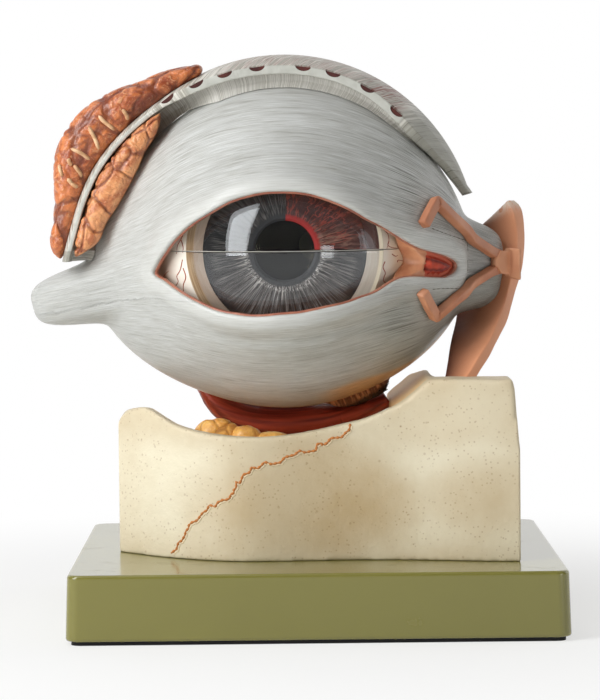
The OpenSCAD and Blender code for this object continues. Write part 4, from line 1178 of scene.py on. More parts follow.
# The light thread is a painted highlight on the seam's cut edge, the dark one its painted shadow.
SEAM_HIGHLIGHT = plain("seam_highlight_paint", shade(0.82, 0.80, 0.76), 0.25)
SEAM_SHADOW = plain("seam_shadow_paint", shade(0.14, 0.12, 0.10), 0.4)
finish_piece(threads("cornea_seam_highlight", [seam_line(0.18)], SEAM_HIGHLIGHT), "eye_upper", "cornea", SEAM_HIGHLIGHT)
finish_piece(threads("cornea_seam_shadow", [seam_line(-0.2)], SEAM_SHADOW), "eye_lower", "cornea", SEAM_SHADOW)
paint_node(clear_finish("lens_clear", (1, 0.96, 0.86), 1.4, 0.05, 0.006, (0.92, 0.90, 0.84)), "lens")
# A grey tint in the vitreous body is painted shade that keeps the pupil dark.
pupil_shade_tint = (0.44, 0.46, 0.47)
paint_node(clear_finish("vitreous_shade_tinted", (0.8, 0.9, 0.95), 1.3, 0.08, 0.006, pupil_shade_tint), "vitreous_body")
print("clear pieces made")

# %% [markdown]
# ## Lining of the fissure and the inner corner
# A thin reddish lining shows inside the lid margins. In the inner corner lie the tan fold and the red
# mound. They are one sheet that starts close to the eyeball, tucks under both lids and swells in the
# middle, so the sheet is a grid between the two margins, split where the fold ends and the mound begins.


# %% Rim of the fissure
def make_rim():
    ph = lid_turns[:, None]
    a = lid_margin(ph)
    section = [(1.5, -0.25), (0.2, -0.3), (-0.35, 0.0), (-0.55, 0.5), (-0.5, 1.1), (-0.2, 1.5), (0.1, 1.4),
        (0.1, 0.0), (1.5, -1.2)]
    rings = []
    for back, out in section:
        edge = a + back / 1.1
        rings.append(polar(edge, ph, lid_base(edge, ph) - LID_T + out)[:, 0])
    return skin("fissure_rim", at_eye(np.stack(rings, 1)), loop=True)


def soft_finish(name, dark, light, rough=0.35, coat=0.2, scale=120, depth=0.0002):
    """Painted soft tissue: two tones in clouds, a satin coat and a low relief."""
    f = Finish(name)
    cloud = f.noise(scale, 4, rough=0.6)
    fine = f.noise(scale * 6, 3)
    f.set(base_color=f.blend(f.fade(cloud, 0.3, 0.7), dark, light), roughness=fine * 0.2 + (rough - 0.1))
    f.set(coat_weight=coat, coat_roughness=0.15)
    return f.bump(cloud * 0.6 + fine * 0.4, depth).material


RIM_PAINT = soft_finish("rim_paint", shade(0.62, 0.36, 0.28), shade(0.76, 0.50, 0.40))
finish_piece(make_rim(), "lids", "lid_lining", RIM_PAINT, "lid_rim")

# %% Fold and mound of the inner corner
upper_side = [[40, 10.5], [45, 6], [53.5, 0], [64, -3], [68, -4.6], [69.5, -5.6], [72, -6.4]]
lower_side = [[40, -18], [45.2, -15], [52, -12], [64, -10.5], [68, -8.5], [69.5, -6.4], [72, -5.6]]
FOLD_END, CORNER_END = 57.2, 71.2


def corner_sheet(name, part):
    """The fold, part 0, or the mound, part 1; rows run from the white of the eye to the corner."""
    s, v = np.linspace(0, 1, 50)[:, None], np.linspace(-1, 1, 61)[None]
    front = 54 - 8 * v**2
    jag = 0.22 * np.sin(v * 9 + 1) + 0.14 * np.sin(v * 23)
    th = mix(front, FOLD_END + jag, s * 0.995) if part == 0 else mix(FOLD_END + jag, CORNER_END, s)
    under = np.degrees(1.5 / LID_R) * (1 + 1.2 * smooth((th - 60) / 10))
    high = curve(upper_side, th.ravel())[:, 0].reshape(th.shape) + under / np.sin(np.radians(th))
    low = curve(lower_side, th.ravel())[:, 0].reshape(th.shape) - under / np.sin(np.radians(th))
    ph = mix(low, high, (v + 1) / 2)
    lid_in = lid_base(th, ph) - LID_T
    down = (lid_in - EYE_R - 1.0) * (1 - smooth((th - front) / 3.4)) ** 2
    gap = margin_distance(polar(th, ph, lid_base(th, ph)))
    crease = bump(gap - 3.0, 0.7, 2) * part
    lumps = np.array([[noise.noise((float(a) * 0.5, float(b) * 0.6, 3)) for a, b in zip(ra, rb)]
        for ra, rb in zip(th, ph)])
    fold_swell = 0.5 * bump(th - 55.6, 1.1, 2)
    swell = fold_swell + part * 1.5 * smooth((th - FOLD_END) / 1.0) * smooth((70.2 - th) / 1.0)
    swell = swell - 0.5 * bump(th - FOLD_END, 0.35, 2) + lumps * 0.5
    r = lid_in - 0.35 - down * bump(v, 0.95, 8) + swell * smooth((gap - 1.2) / 1.6) - 0.5 * crease
    top = polar(th, ph, r)
    bottom = polar(th, ph, np.minimum(r, lid_in) - 0.9)
    edge = smooth((1.9 - gap) / 0.6) * part
    return slab(name, at_eye(top), at_eye(bottom), {"border": edge, "crease": crease})


def corner_finish():
    f = Finish("caruncle_paint")
    cloud = f.noise(170, 4, rough=0.6)
    colour = f.blend(f.fade(cloud, 0.3, 0.7), shade(0.66, 0.19, 0.13), shade(0.82, 0.33, 0.23))
    colour = f.blend(f.mark("border"), colour, shade(0.82, 0.42, 0.32))
    # Dark red along the crease is painted shade.
    colour = f.blend(f.mark("crease") * 0.85, colour, shade(0.38, 0.12, 0.09))
    f.set(base_color=colour, roughness=cloud * 0.2 + 0.4, specular_ior_level=0.3)
    return f.bump(cloud, 0.0004).material


finish_piece(corner_sheet("corner_mound", 1), "lids", "caruncle", corner_finish(), "caruncle")
FOLD_PAINT = soft_finish("fold_paint", shade(0.80, 0.52, 0.38), shade(0.88, 0.64, 0.48))
finish_piece(corner_sheet("corner_fold", 0), "lids", "plica", FOLD_PAINT, "plica")
print("inner corner made")

# %% [markdown]
# ## Levator plate
# The curved plate above the upper lid is the spread tendon of the muscle that lifts the lid. Its front
# edge is cut through by a row of dark half-moon openings. Its section changes along the arc, so it is
# skinned from many sections. The corners of each section are rounded, and the openings are cut by a Boolean.

# %% The plate's rule
PLATE_T = 2.6
plate_keys = [[15.8, 18.4, 4], [22.6, 15.5, 10], [27, 14, 14.3], [30.8, 12.4, 18], [40.3, 10.9, 24],
    [49.4, 11.2, 26], [60, 12.5, 26], [70, 13.2, 26], [98, 13.8, 26], [117.7, 15.4, 26], [137.9, 18.7, 24],
    [156.5, 22.8, 24], [174.2, 26, 24], [182.8, 29, 24]]
notch_angles = [50.4, 62.3, 74.1, 83.7, 98.1, 108.3, 117.5, 127.3]


def lid_rho(depth, ph):
    """Distance off the axis of the lids' outer surface at a given depth in front of the eye's centre."""
    low, high = 1.0, 90.0
    for unused in range(26):
        m = (low + high) / 2
        if float(lid_out(m, ph)) * math.cos(math.radians(m)) > depth:
            low = m
        else:
            high = m
    return float(lid_out(low, ph)) * math.sin(math.radians(low))


def plate_edge(ph):
    rise, depth = curve(plate_keys, ph)[0]
    return float(EYE_R + rise), float(depth)


def plate_section(ph):
    """Corners of the plate's section, as depth in front of the centre and distance off the axis."""
    r, e = plate_edge(ph)
    back_r = max(r + 1.5, EYE_R + 20 - PLATE_T / 2)
    web = float(smooth((ph - 27) / 12))
    foot = mix(max(0.6 * e, e - 3.5), 12.5, float(smooth((ph - 112) / 16)))
    near = min(1, e / 12)
    f1, f2 = foot + 2.2 * web, foot - 3.4 * web - 0.6
    under = r - PLATE_T / 2
    over = under + mix(PLATE_T, 1.8, float(smooth((ph - 122) / 14)))
    d1 = mix(under - 0.4, lid_rho(f1, ph) + 0.3, web)
    d2 = mix(under - 0.4, lid_rho(f2, ph) + 0.3, web)
    lip = 0.8 * float(smooth((130 - ph) / 8) * smooth((ph - 30) / 10))
    return [(0, back_r + PLATE_T / 2), (e * 0.55, mix(r, back_r, 0.62) + PLATE_T / 2), (e, over),
        (e, under - lip), (mix(e, foot, 0.4), under - lip), (foot + 0.6 * near, under - 0.1),
        (foot, mix(under, d1, 0.5)), (f1, d1), (f2, d2),
        (f2 - 0.2 * near, mix(under, d2, 0.5)), (f2 - 1.2 * near, mix(r, back_r, 0.4) - PLATE_T / 2),
        (f2 - 1.6 * near, mix(r, back_r, 0.5) - PLATE_T / 2), (0, back_r - PLATE_T / 2)]


# %% Levator plate
def rounded_ring(corners, radius, steps=3):
    """The corners of a closed section, each cut back and rounded."""
    ring = []
    pts = [np.array(c, float) for c in corners]
    for i, p in enumerate(pts):
        a, b = pts[i - 1] - p, pts[(i + 1) % len(pts)] - p
        la, lb = max(np.linalg.norm(a), 1e-6), max(np.linalg.norm(b), 1e-6)
        cut_a, cut_b = min(radius, la * 0.42), min(radius, lb * 0.42)
        start, end = p + a / la * cut_a, p + b / lb * cut_b
        for k in range(steps + 1):
            t = k / steps
            ring.append((1 - t) ** 2 * start + 2 * t * (1 - t) * p + t * t * end)
    return np.array(ring)


NOTCH_W, NOTCH_D = 3.1, 1.9
NOTCH_DEPTH = 1.8


def notch_frame(ph):
    """The middle of an opening on the plate's front edge, with the directions out and across."""
    r, e = plate_edge(ph)
    radial = np.array([math.cos(math.radians(ph)), 0, math.sin(math.radians(ph))])
    return radial * (r + PLATE_T / 2 + 0.1), radial, np.array([-radial[2], 0, radial[0]]), e


IN_RECESS = slice(19, 36)  # the points of a section's rounded ring that line the recess


def make_plate():
    turns = np.concatenate([np.linspace(15.8, 33, 60), np.arange(33.5, 180, 0.5), np.linspace(180, 182.8, 8)])
    rings, recess = [], []
    for ph in turns:
        ring = rounded_ring(plate_section(ph), 0.55)
        rings.append(round_axis(ring[:, 1], -ring[:, 0], ph))
        part = np.zeros(len(ring))
        part[IN_RECESS] = 1
        recess.append(part)
    plate = skin("levator_plate_fine", at_eye(rings), marks={"recess": recess})
    for ph in notch_angles:
        middle, radial, across, e = notch_frame(ph)
        circle = np.linspace(0, 2 * math.pi, 33)[:-1]
        outline = [middle + radial * NOTCH_D * math.cos(a) + across * NOTCH_W * math.sin(a) for a in circle]
        rows = [[p + [0, y, 0] for p in outline] for y in (-e - 1, -e + NOTCH_DEPTH)]
        cut(plate, skin("notch", at_eye(rows)))
    plate.data.shade_smooth()
    plate.data.set_sharp_from_angle(angle=math.radians(35))
    return plate


def plate_finish():
    """Grey paint: red-brown and white stripes from front to back over the top, and a hatched recess that
    turns brown as painted shade beside the gland.
    """
    f = Finish("plate_paint")
    x, y, z = eye_axes(f)[:3]
    angle = z.math("ARCTAN2", x)
    lean = angle * 70.0 + y * 0.3
    stripe = f.noise(1, 3, f.join(lean * 0.9, y * 0.02, 3.0))
    fine = f.noise(1, 2, f.join(lean * 3.0, y * 0.05, 8.0))
    grey = f.blend(stripe * 0.5 + fine * 0.5, shade(0.48, 0.47, 0.42), shade(0.74, 0.735, 0.69))
    pale = f.blend(f.fade(stripe, 0.35, 0.65), shade(0.64, 0.62, 0.57), shade(0.90, 0.89, 0.85))
    ground = f.blend(f.fade(angle, 0.70, 0.86), grey, pale)
    red_zone = band(f, angle, 0.86, 1.12, 0.06) + band(f, angle, 1.15, 1.9, 0.1) * 0.6
    red = f.fade(fine * 0.55 + stripe * 0.45, 0.47, 0.54) * red_zone
    colour = f.blend(red * 0.9, ground, shade(0.50, 0.24, 0.17))
    lines = f.fade(fine, 0.56, 0.66) * (f.fade(angle, 0.9, 0.75) * 0.4 + 0.3)
    colour = f.blend(lines, colour, shade(0.34, 0.33, 0.30))
    front = f.fade(y, -25.6, -25.9) * f.fade(angle, 2.2, 2.1)
    front = front + f.fade(y, -23.6, -23.9) * f.fade(angle, 2.3, 2.4)
    face = f.blend(f.noise(260, 4), shade(0.70, 0.70, 0.66), shade(0.83, 0.83, 0.80))
    colour = f.blend(front, colour, face)
    hatch = f.blend(f.fade(fine, 0.35, 0.6), shade(0.64, 0.63, 0.59), shade(0.80, 0.79, 0.76))
    # Brown in the recess towards the gland is painted shade in the gap between plate and gland.
    hatch = f.blend(f.fade(angle, 2.1, 2.4) * 0.8, hatch, shade(0.48, 0.38, 0.30))
    colour = f.blend(f.mark("recess"), colour, hatch)
    f.set(base_color=colour, roughness=fine * 0.2 + 0.35)
    return f.bump(fine * 0.6 + f.noise(420, 3) * 0.4, 0.0004).material


PLATE_PAINT = plate_finish()
finish_piece(make_plate(), "lids", "plate_grey", PLATE_PAINT, "levator_plate")


# %% Dark floors of the openings
def join_pieces(name, pieces):
    """One mesh object from several."""
    joined = bmesh.new()
    for piece in pieces:
        joined.from_mesh(piece.data)
        bpy.data.objects.remove(piece)
    mesh = bpy.data.meshes.new(name)
    joined.to_mesh(mesh)
    joined.free()
    mesh.shade_smooth()
    mesh.set_sharp_from_angle(angle=math.radians(40))
    made = bpy.data.objects.new(name, mesh)
    bpy.context.scene.collection.objects.link(made)
    return made


def make_notch_floors():
    floors = []
    for ph in notch_angles:
        middle, radial, across, e = notch_frame(ph)
        arc = np.radians(np.linspace(-84, 84, 19))
        outline = [(-math.cos(a) * (NOTCH_D - 0.03), math.sin(a) * (NOTCH_W - 0.03)) for a in arc]
        rows = [[middle + radial * a + across * b + [0, y, 0] for a, b in outline]
            for y in (-e + 0.5, -e + 0.6, -e + NOTCH_DEPTH + 0.1)]
        floors.append(skin("notch_floor", at_eye(rows)))
    return join_pieces("notch_floors", floors)


DARK_RED = soft_finish("notch_paint", shade(0.24, 0.10, 0.09), shade(0.38, 0.17, 0.14), rough=0.45)
finish_piece(make_notch_floors(), "lids", "plate_grey", DARK_RED)
print("levator plate made, with", len(notch_angles), "openings")

# %% [markdown]
# ## Tear gland
# The gland's two lobes are soft clusters of lobules, painted orange, with painted shade in the creases and
# short pale strokes of painted highlight. A lobe is skinned from sections round the arc. Each point is then
# pushed in where two cells of a Voronoi pattern meet, so that the lobules are real relief, and the depth of
# the crease is stored for the paint.

# %% The lobes' rule
orbital_keys = [[112.5, 24, 9.5, 4], [114.5, 24.4, 9.5, 6], [118, 25.2, 9, 6.8], [123.7, 27.9, 9, 7.4],
    [130, 30.6, 9.5, 8], [137, 35.3, 10, 8.5], [143.6, 39.4, 10, 8.5], [150.6, 41.6, 10, 8.5],
    [156.9, 41.3, 10, 8], [162.1, 39, 10, 7.5], [167.1, 36.6, 10, 7], [172.2, 35.8, 10, 6.2],
    [177.3, 36.2, 10, 5.4], [180.5, 35.4, 10, 4.4], [182, 34, 10, 2.2]]
palpebral_keys = [[132, 0.8, 22, 2], [135, 0.5, 22, 4], [139, 0.3, 22, 5], [144, 0.22, 22, 5.2],
    [151, 0.08, 22, 5.6], [158, 0.05, 22, 5.6], [165.3, 0.10, 22, 5.6], [171.4, 0.24, 22, 5],
    [177.3, 0.34, 22, 4.4], [181.5, 0.75, 22, 2]]


def plate_back(ph):
    return max(EYE_R + float(curve(plate_keys, ph)[0][0]) + 1.5, EYE_R + 20 - PLATE_T / 2)


def orbital_row(ph):
    """Radius, depth, half height and half depth of the outer lobe's section."""
    rise, depth, half = curve(orbital_keys, ph)[0]
    out, inner = EYE_R + rise, plate_back(ph) + PLATE_T / 2 - 1.2
    return (out + inner) / 2, depth, (out - inner) / 2, half


def palpebral_row(ph):
    """The same for the inner lobe, which lies between the lids and the plate."""
    free, depth, half = curve(palpebral_keys, ph)[0]
    out = EYE_R + float(curve(plate_keys, ph)[0][0]) - PLATE_T / 2 - 0.3
    inner = mix(lid_rho(depth, ph) + 0.5, out, free)
    return (out + inner) / 2, depth, (out - inner) / 2, half


# %% Lobes
def drift(at, seed):
    """A smooth push in three directions; Blender's noise_vector would differ at each start, noise doesn't."""
    return Vector([noise.noise(at + Vector((seed, seed + far, seed - far))) for far in (0, 19.3, 41.7)])


def make_lobe(name, row, ph_from, ph_to, cell, depth, seed, wrinkle_depth=0.25):
    n, m = 240, 96
    rings, creases = [], []
    for i in range(n):
        t = i / (n - 1)
        ph = mix(ph_from, ph_to, t)
        r0, y0, half_r, half_y = row(ph)
        end = max(0.03, (1 - (2 * t - 1) ** 24)) ** 0.5
        ring, marks = [], []
        for a in np.radians(np.linspace(0, 360, m + 1)[:-1]):
            c, s = math.cos(a), math.sin(a)
            r = r0 + half_r * end * math.copysign(abs(c) ** 0.85, c)
            y = -y0 + half_y * end * math.copysign(abs(s) ** 0.85, s)
            q = Vector(polar(90, ph, r) + [0, y, 0])
            q += drift(q * 0.09, seed) * 3.5
            gaps = noise.voronoi(Vector((q.x / cell + seed, q.y / cell, q.z / cell * 0.75)))[0]
            small = noise.voronoi(Vector((q.x / cell, q.y / cell + seed, q.z / cell)) * 2.6)[0]
            crease = float(bump(gaps[1] - gaps[0], 0.11, 2))
            wrinkle = float(bump(small[1] - small[0], 0.13, 2))
            push = -depth * (crease + wrinkle_depth * wrinkle) + 0.4 * depth * (0.5 - gaps[0])
            push *= float(smooth((c + 0.95) / 0.5))
            grow = min(1.02, 1 + push * 0.9 / max(half_r, half_y, 3))
            ring.append(polar(90, ph, r0 + (r - r0) * grow) + [0, -y0 + (y + y0) * grow, 0])
            marks.append(crease + wrinkle_depth * wrinkle)
        rings.append(ring)
        creases.append(marks)
    return skin(name, at_eye(rings), marks={"crease": creases})


def gland_finish(name, dark, light, crease):
    """Mottled orange, with short pale strokes that are painted highlights, and painted shade in the creases.
    """
    f = Finish(name)
    cloud = f.noise(110, 5, rough=0.65, distortion=1.5)
    spot = f.noise(420, 3, distortion=2.0)
    colour = f.blend(f.fade(cloud, 0.32, 0.66), dark, light)
    # Short pale strokes are painted highlights.
    colour = f.blend(f.fade(spot, 0.56, 0.70) * 0.45, colour, shade(0.95, 0.76, 0.58))
    # Dark in the creases is painted shade.
    colour = f.blend(f.fade(f.mark("crease"), 0.3, 1.1) * 0.75, colour, crease)
    f.set(base_color=colour, roughness=cloud * 0.2 + 0.24, coat_weight=0.3, coat_roughness=0.15)
    return f.bump(cloud * 0.6 + spot * 0.4, 0.0009).material


outer_lobe = make_lobe("gland_outer", orbital_row, 114, 182, 17, 0.8, 4.0, 0.6)
ORBITAL_PAINT = gland_finish("gland_dark_paint", shade(0.60, 0.27, 0.13), shade(0.86, 0.51, 0.29),
    shade(0.40, 0.15, 0.08))
finish_piece(outer_lobe, "lids", "gland_dark", ORBITAL_PAINT, "gland_orbital")
inner_lobe = make_lobe("gland_inner", palpebral_row, 132, 181.5, 10.5, 1.1, 9.0, 0.3)
PALPEBRAL_PAINT = gland_finish("gland_light_paint", shade(0.72, 0.39, 0.22), shade(0.93, 0.65, 0.43),
    shade(0.46, 0.20, 0.11))
finish_piece(inner_lobe, "lids", "gland_light", PALPEBRAL_PAINT, "gland_palpebral")
print("gland lobes made")

# %% [markdown]
# Small tan ducts lie on the front of the outer lobe, each given by its middle, its lean and half its
# length. They are short tubes with round ends, in slightly different lengths and directions, half sunk
# where the lobe's own surface is found by a ray.

# %% Ducts
duct_spots = [[-69.7, 50.2, -45, 4.2], [-74.6, 44.4, -69, 5], [-80, 38.3, -31, 4.3], [-81.1, 31.5, -64, 2.8],
    [-83.4, 26.6, -42, 2.7], [-62.1, 53.5, -72, 2.3], [-84.3, 35, -52, 1.6], [-88, 31.6, -85, 2.4]]


def surface_of(piece):
    """A search tree for rays onto a piece."""
    tidy = bmesh.new()
    tidy.from_mesh(piece.data)
    tree = BVHTree.FromBMesh(tidy)
    tidy.free()
    return tree


def land(tree, x, z, lift=0.0):
    """The first point of a surface met by a ray that runs backwards at a place across and up, in mm."""
    hit = tree.ray_cast(Vector((x * MM, -0.3, z * MM)), Vector((0, 1, 0)))[0]
    return (x, (hit.y / MM if hit else -20.0) - lift, z)


def make_ducts():
    tree = surface_of(outer_lobe)
    lines = []
    for x, z, lean, length in duct_spots:
        along = (math.cos(math.radians(lean)), math.sin(math.radians(lean)))
        line = []
        for k in range(-6, 7):
            t = k / 6
            wave = 0.22 * math.sin(t * 2.6 + x)
            px, pz = x + along[0] * t * length - along[1] * wave, z + along[1] * t * length + along[0] * wave
            thick = 0.8 * math.sqrt(max(0.02, 1 - abs(t) ** 7))
            line.append((*land(tree, px + EYE[0], pz + EYE[2], 0.25), thick))
        lines.append(line)
    return lines


DUCT_PAINT = soft_finish("duct_paint", shade(0.76, 0.54, 0.36), shade(0.93, 0.77, 0.60), scale=220)
finish_piece(threads("ducts", make_ducts(), DUCT_PAINT, 10), "lids", "duct", DUCT_PAINT, "gland_ducts")
print(len(duct_spots), "ducts")

# %% [markdown]
# ## Tear canals and sac
# Copper-coloured canals of square section run over the lids from both margins, meet at the inner stub and
# enter the tear sac, which tapers down to the bone. The bars keep crisp but rounded edges, with a tight
# bend where a canal turns.

# %% Canals
CANAL_W, CANAL_H, CANAL_LIFT = 4.2, 3.0, 0.9
upper_route = [[52.9, 9.9], [56.6, 13.9], [60.9, 17.3], [63.7, 12.8], [67.3, 8.7], [72.6, 4.9], [78.7, 1],
    [82.6, -1.8], [86.5, -3.4]]
lower_route = [[53.6, -17.4], [57.8, -21.3], [62.7, -24.6], [65.1, -20.5], [68.4, -16.6], [73.8, -13.1],
    [79, -9.4], [82.6, -6.6], [86.5, -5.2]]


def route_points(route, corner):
    """Points of a canal over the lids: straight legs, with a tight bend at the corner key."""
    keys = [[i, *k] for i, k in enumerate(route)]
    legs = [curve(keys[:corner + 1], np.linspace(0, corner, 30)),
        curve(keys[corner:], np.linspace(corner, len(keys) - 1, 90))[1:]]
    spots = np.vstack(legs)
    points = polar(spots[:, 0], spots[:, 1], lid_out(spots[:, 0], spots[:, 1]) + CANAL_LIFT)
    for unused in range(3):
        points[1:-1] = (points[:-2] + 2 * points[1:-1] + points[2:]) / 4
    return points


def make_canal(name, route):
    points = route_points(route, 2)
    w, h = CANAL_W / 2, CANAL_H
    section = rounded_ring([(-w, -0.6), (-w, h), (w, h), (w, -0.6)], 0.75, 5)
    rings = []
    for i, p in enumerate(points):
        ahead, behind = points[min(i + 2, len(points) - 1)], points[max(i - 2, 0)]
        along = (ahead - behind) / np.linalg.norm(ahead - behind)
        out = p / np.linalg.norm(p)
        side = np.cross(out, along)
        side /= np.linalg.norm(side)
        size = 0.86 if i in (0, len(points) - 1) else 1
        rings.append([p + side * a * size + out * (b * size + (1 - size) * h / 2) for a, b in section])
    return skin(name, at_eye(rings))


def copper_finish(name, dark, light):
    """Copper-brown paint, worn lighter in clouds, satin."""
    f = Finish(name)
    cloud = f.noise(60, 4)
    fine = f.noise(700, 3)
    f.set(base_color=f.blend(f.fade(cloud, 0.3, 0.7), dark, light), roughness=fine * 0.15 + 0.38)
    return f.bump(fine * 0.5 + cloud * 0.5, 0.00015).material


COPPER = copper_finish("canal_paint", shade(0.72, 0.46, 0.33), shade(0.82, 0.57, 0.43))
finish_piece(make_canal("canal_upper", upper_route), "lids", "tear_copper", COPPER, "canaliculus_upper")
finish_piece(make_canal("canal_lower", lower_route), "lids", "tear_copper", COPPER, "canaliculus_lower")
print("canals made")

# %% Tear sac
SAC_T, SAC_TOP = 5.5, 18.0
nasal_lid_r = LID_R + 6
SAC_END = -math.sqrt(nasal_lid_r**2 - 54.6**2) - 6.6 - 0.9
TRUNK_PH, TRUNK_W = -4.3, 4.6
sac_keys = [[0, 33.6, -1, 26, 11], [0.06, 36, -2, 23, 12], [0.2, 37.2, -3, 20.5, 12.5],
    [0.36, 36.4, -3.5, 18, 12.5], [0.52, 33.4, -4.5, 15, 12.5], [0.7, 28.5, -16, 12.8, 1],
    [0.86, 21.5, -31, 9.4, -17], [1, 14.2, -43, 7.2, -30]]


def make_sac():
    """The sac and its duct: flat sections from the front edge to the back edge, stacked downwards."""
    rings, strip, rim = [], [], []
    for t in np.concatenate([[0, 0.006, 0.02], np.linspace(0.04, 1, 110)]):
        fx, fy, bx, by = curve(sac_keys, t)[0]
        z = mix(SAC_TOP, SAC_END, t)
        f = np.array([EYE_R + fx, fy, z])
        b = np.array([EYE_R + bx, by, z - 8 * (1 - float(smooth(t * 3)))])
        u = f - b
        length = np.linalg.norm(u)
        u /= length
        s = np.cross(u, [0, 0, 1])
        s /= np.linalg.norm(s)
        h = SAC_T / 2 * (1 - 0.35 * math.exp(-((t / 0.012) ** 2)))
        corners = [(0, -h), (length, -h), (length, h), (0, h)]
        ring = rounded_ring(corners, 0.7, 5)
        wave = 0.25 * np.sin(ring[:, 0] * 0.45 + z * 0.3) * (np.abs(ring[:, 1]) > h * 0.9)
        rings.append([b + u * p[0] + s * (p[1] + w * np.sign(p[1])) for p, w in zip(ring, wave)])
        # Marks for the front edge, painted lighter, and for the top, which carries a painted highlight.
        strip.append(smooth((ring[:, 0] - length + 3.2) / 0.5))
        rim.append(np.full(len(ring), math.exp(-((t * 37 / 1.6) ** 2))))
    return skin("tear_sac", at_eye(rings), marks={"strip": strip, "rim": rim})


def make_trunk():
    """The short common canal from the two canals over the inner stub into the sac."""
    n = np.array([0.55, -0.83, 0]) / math.hypot(0.55, 0.83)
    end = np.array([EYE_R + 35, -6, mix(SAC_TOP, SAC_END, 0.37)])
    th = np.linspace(82.6, 87.7, 10)
    path = np.vstack([polar(th, TRUNK_PH + 0 * th, lid_out(th, TRUNK_PH) + 1.1), end])
    path = smooth_line(path, 4)
    rings, count = [], len(path)
    for i, p in enumerate(path):
        w = mix(1.6, TRUNK_W, float(smooth(i / 14))) + 1.6 * float(smooth((i - count * 0.6) / (count * 0.4)))
        section = rounded_ring([(-w, -0.3), (-w, CANAL_H), (w, CANAL_H), (w, -0.3)], 0.9, 5)
        rings.append([p + n * b + np.array([0, 0, a]) for a, b in section])
    return skin("tear_trunk", at_eye(rings))


def sac_finish():
    """Copper paint: dark flanks, partly paint and partly painted shade, a lighter front edge, partly paint
    and partly painted light, and a pale painted highlight on top.
    """
    f = Finish("sac_paint")
    cloud = f.noise(50, 4)
    fine = f.noise(500, 3)
    # The dark flank is partly paint and partly painted shade.
    shaded_flank = f.blend(f.fade(cloud, 0.3, 0.7), shade(0.36, 0.19, 0.14), shade(0.47, 0.27, 0.20))
    # The lighter front edge is partly paint and partly painted light.
    strip = f.blend(cloud, shade(0.84, 0.56, 0.41), shade(0.92, 0.66, 0.50))
    colour = f.blend(f.mark("strip"), shaded_flank, strip)
    # The pale patch on top is a painted highlight.
    colour = f.blend(f.mark("rim") * f.fade(fine, 0.3, 0.5), colour, shade(0.90, 0.83, 0.76))
    f.set(base_color=colour, roughness=fine * 0.15 + 0.36)
    return f.bump(fine * 0.4 + cloud * 0.6, 0.0003).material


finish_piece(make_sac(), "lids", "tear_copper", sac_finish(), "lacrimal_sac")
# A lighter copy of the canals' copper: painted light on the trunk.
TRUNK_LIT_COPPER = copper_finish("trunk_copper_painted_light", shade(0.84, 0.58, 0.43), shade(0.94, 0.70, 0.54))
finish_piece(make_trunk(), "lids", "tear_copper", TRUNK_LIT_COPPER)
print("tear sac made")

# %% [markdown]
# ## Muscles
# The straight muscles lie on the eyeball and run straight back; the oblique ones sling round it. On the
# model they are dark red and combed lengthwise. Only the lower oblique shows from the front, as a thick
# crescent between the lids and the orbit. The sections follow the CAD's rule, with fine grooves added.

# %% Straight muscles
MUSCLE_T, MUSCLE_W, MUSCLE_L = 5.0, 10.0, 78.0
SOFT_GAP, DRAW_IN, SEAM = 0.3, 0.2, 0.3


def ball_r(y):
    """Distance from the eye's axis to just off the eyeball, at a depth."""
    return math.sqrt((EYE_R + SOFT_GAP) ** 2 - y * y)


def bed_r(y, lift):
    """Inner radius of a straight muscle: on the eyeball, then straight back, drawing in."""
    leave = DRAW_IN * EYE_R
    return (ball_r(y) if y < leave else ball_r(leave) - DRAW_IN * (y - leave)) + lift * smooth((y + 6) / 14)


def grooves(along, across, seed):
    """Depth of the combed grooves, in millimetres, at a place along and across a muscle."""
    wide = noise.noise((across * 0.9, along * 0.04, seed))
    fine = noise.noise((across * 2.6, along * 0.05, seed + 5))
    return 0.35 * wide + 0.22 * fine


def make_strap(name, phi, side, lift=0.0):
    half = side != 0
    a = np.radians(np.linspace(-90, 90, 33) if half else np.linspace(0, 360, 61)[:-1])
    spots = [(math.cos(k), (1 + math.sin(k)) / 2) for k in a]
    turned = math.cos(math.radians(phi)) * side if half else 1
    rings = []
    for y in np.linspace(-15, MUSCLE_L, 90):
        r0, narrow = bed_r(y, lift), mix(1, 0.72, smooth((y - 40) / 40))
        w = MUSCLE_W * mix(0.92, narrow, smooth((y + 15) / 30))
        t = mix(0.9, 1.7, smooth((y + 15) / 15)) if y < 0 else mix(1.7, MUSCLE_T, smooth(y / 26))
        ring = []
        for c, s in spots:
            r = r0 + t * s + grooves(y, c * w, phi * 0.1) * smooth((s - 0.5) * 3) * min(1, t / 3)
            off = c * w + (SEAM / 2 if half else 0)
            ring.append(round_axis(r, y, phi + math.degrees(math.asin(off / r)) * turned))
        rings.append(ring)
    return skin(name, at_eye(rings))


def muscle_finish(name, round_the_ball=False):
    """Dark red with lengthwise streaks, and a pale tendon at the front end."""
    f = Finish(name)
    x, y, z, rho = eye_axes(f)
    cloud = f.noise(60, 4)
    if round_the_ball:
        along = (rho * 0.55, y * 0.55, z.math("ARCTAN2", x) * 1.5)
    else:
        along = (x * 0.5, y * 0.03, z * 0.5)
    streak = f.noise(1, 3, f.join(*along))
    red = f.blend(f.fade(streak, 0.3, 0.7), shade(0.46, 0.14, 0.09), shade(0.72, 0.29, 0.20))
    pale = f.blend(streak, shade(0.80, 0.72, 0.62), shade(0.90, 0.85, 0.77))
    tendon = 0.0 if round_the_ball else f.fade(y + cloud * 6.0, 4, -2)
    f.set(base_color=f.blend(tendon, red, pale), roughness=streak * 0.2 + 0.28)
    f.set(coat_weight=0.3, coat_roughness=0.2)
    return f.bump(streak * 0.7 + cloud * 0.3, 0.0004).material


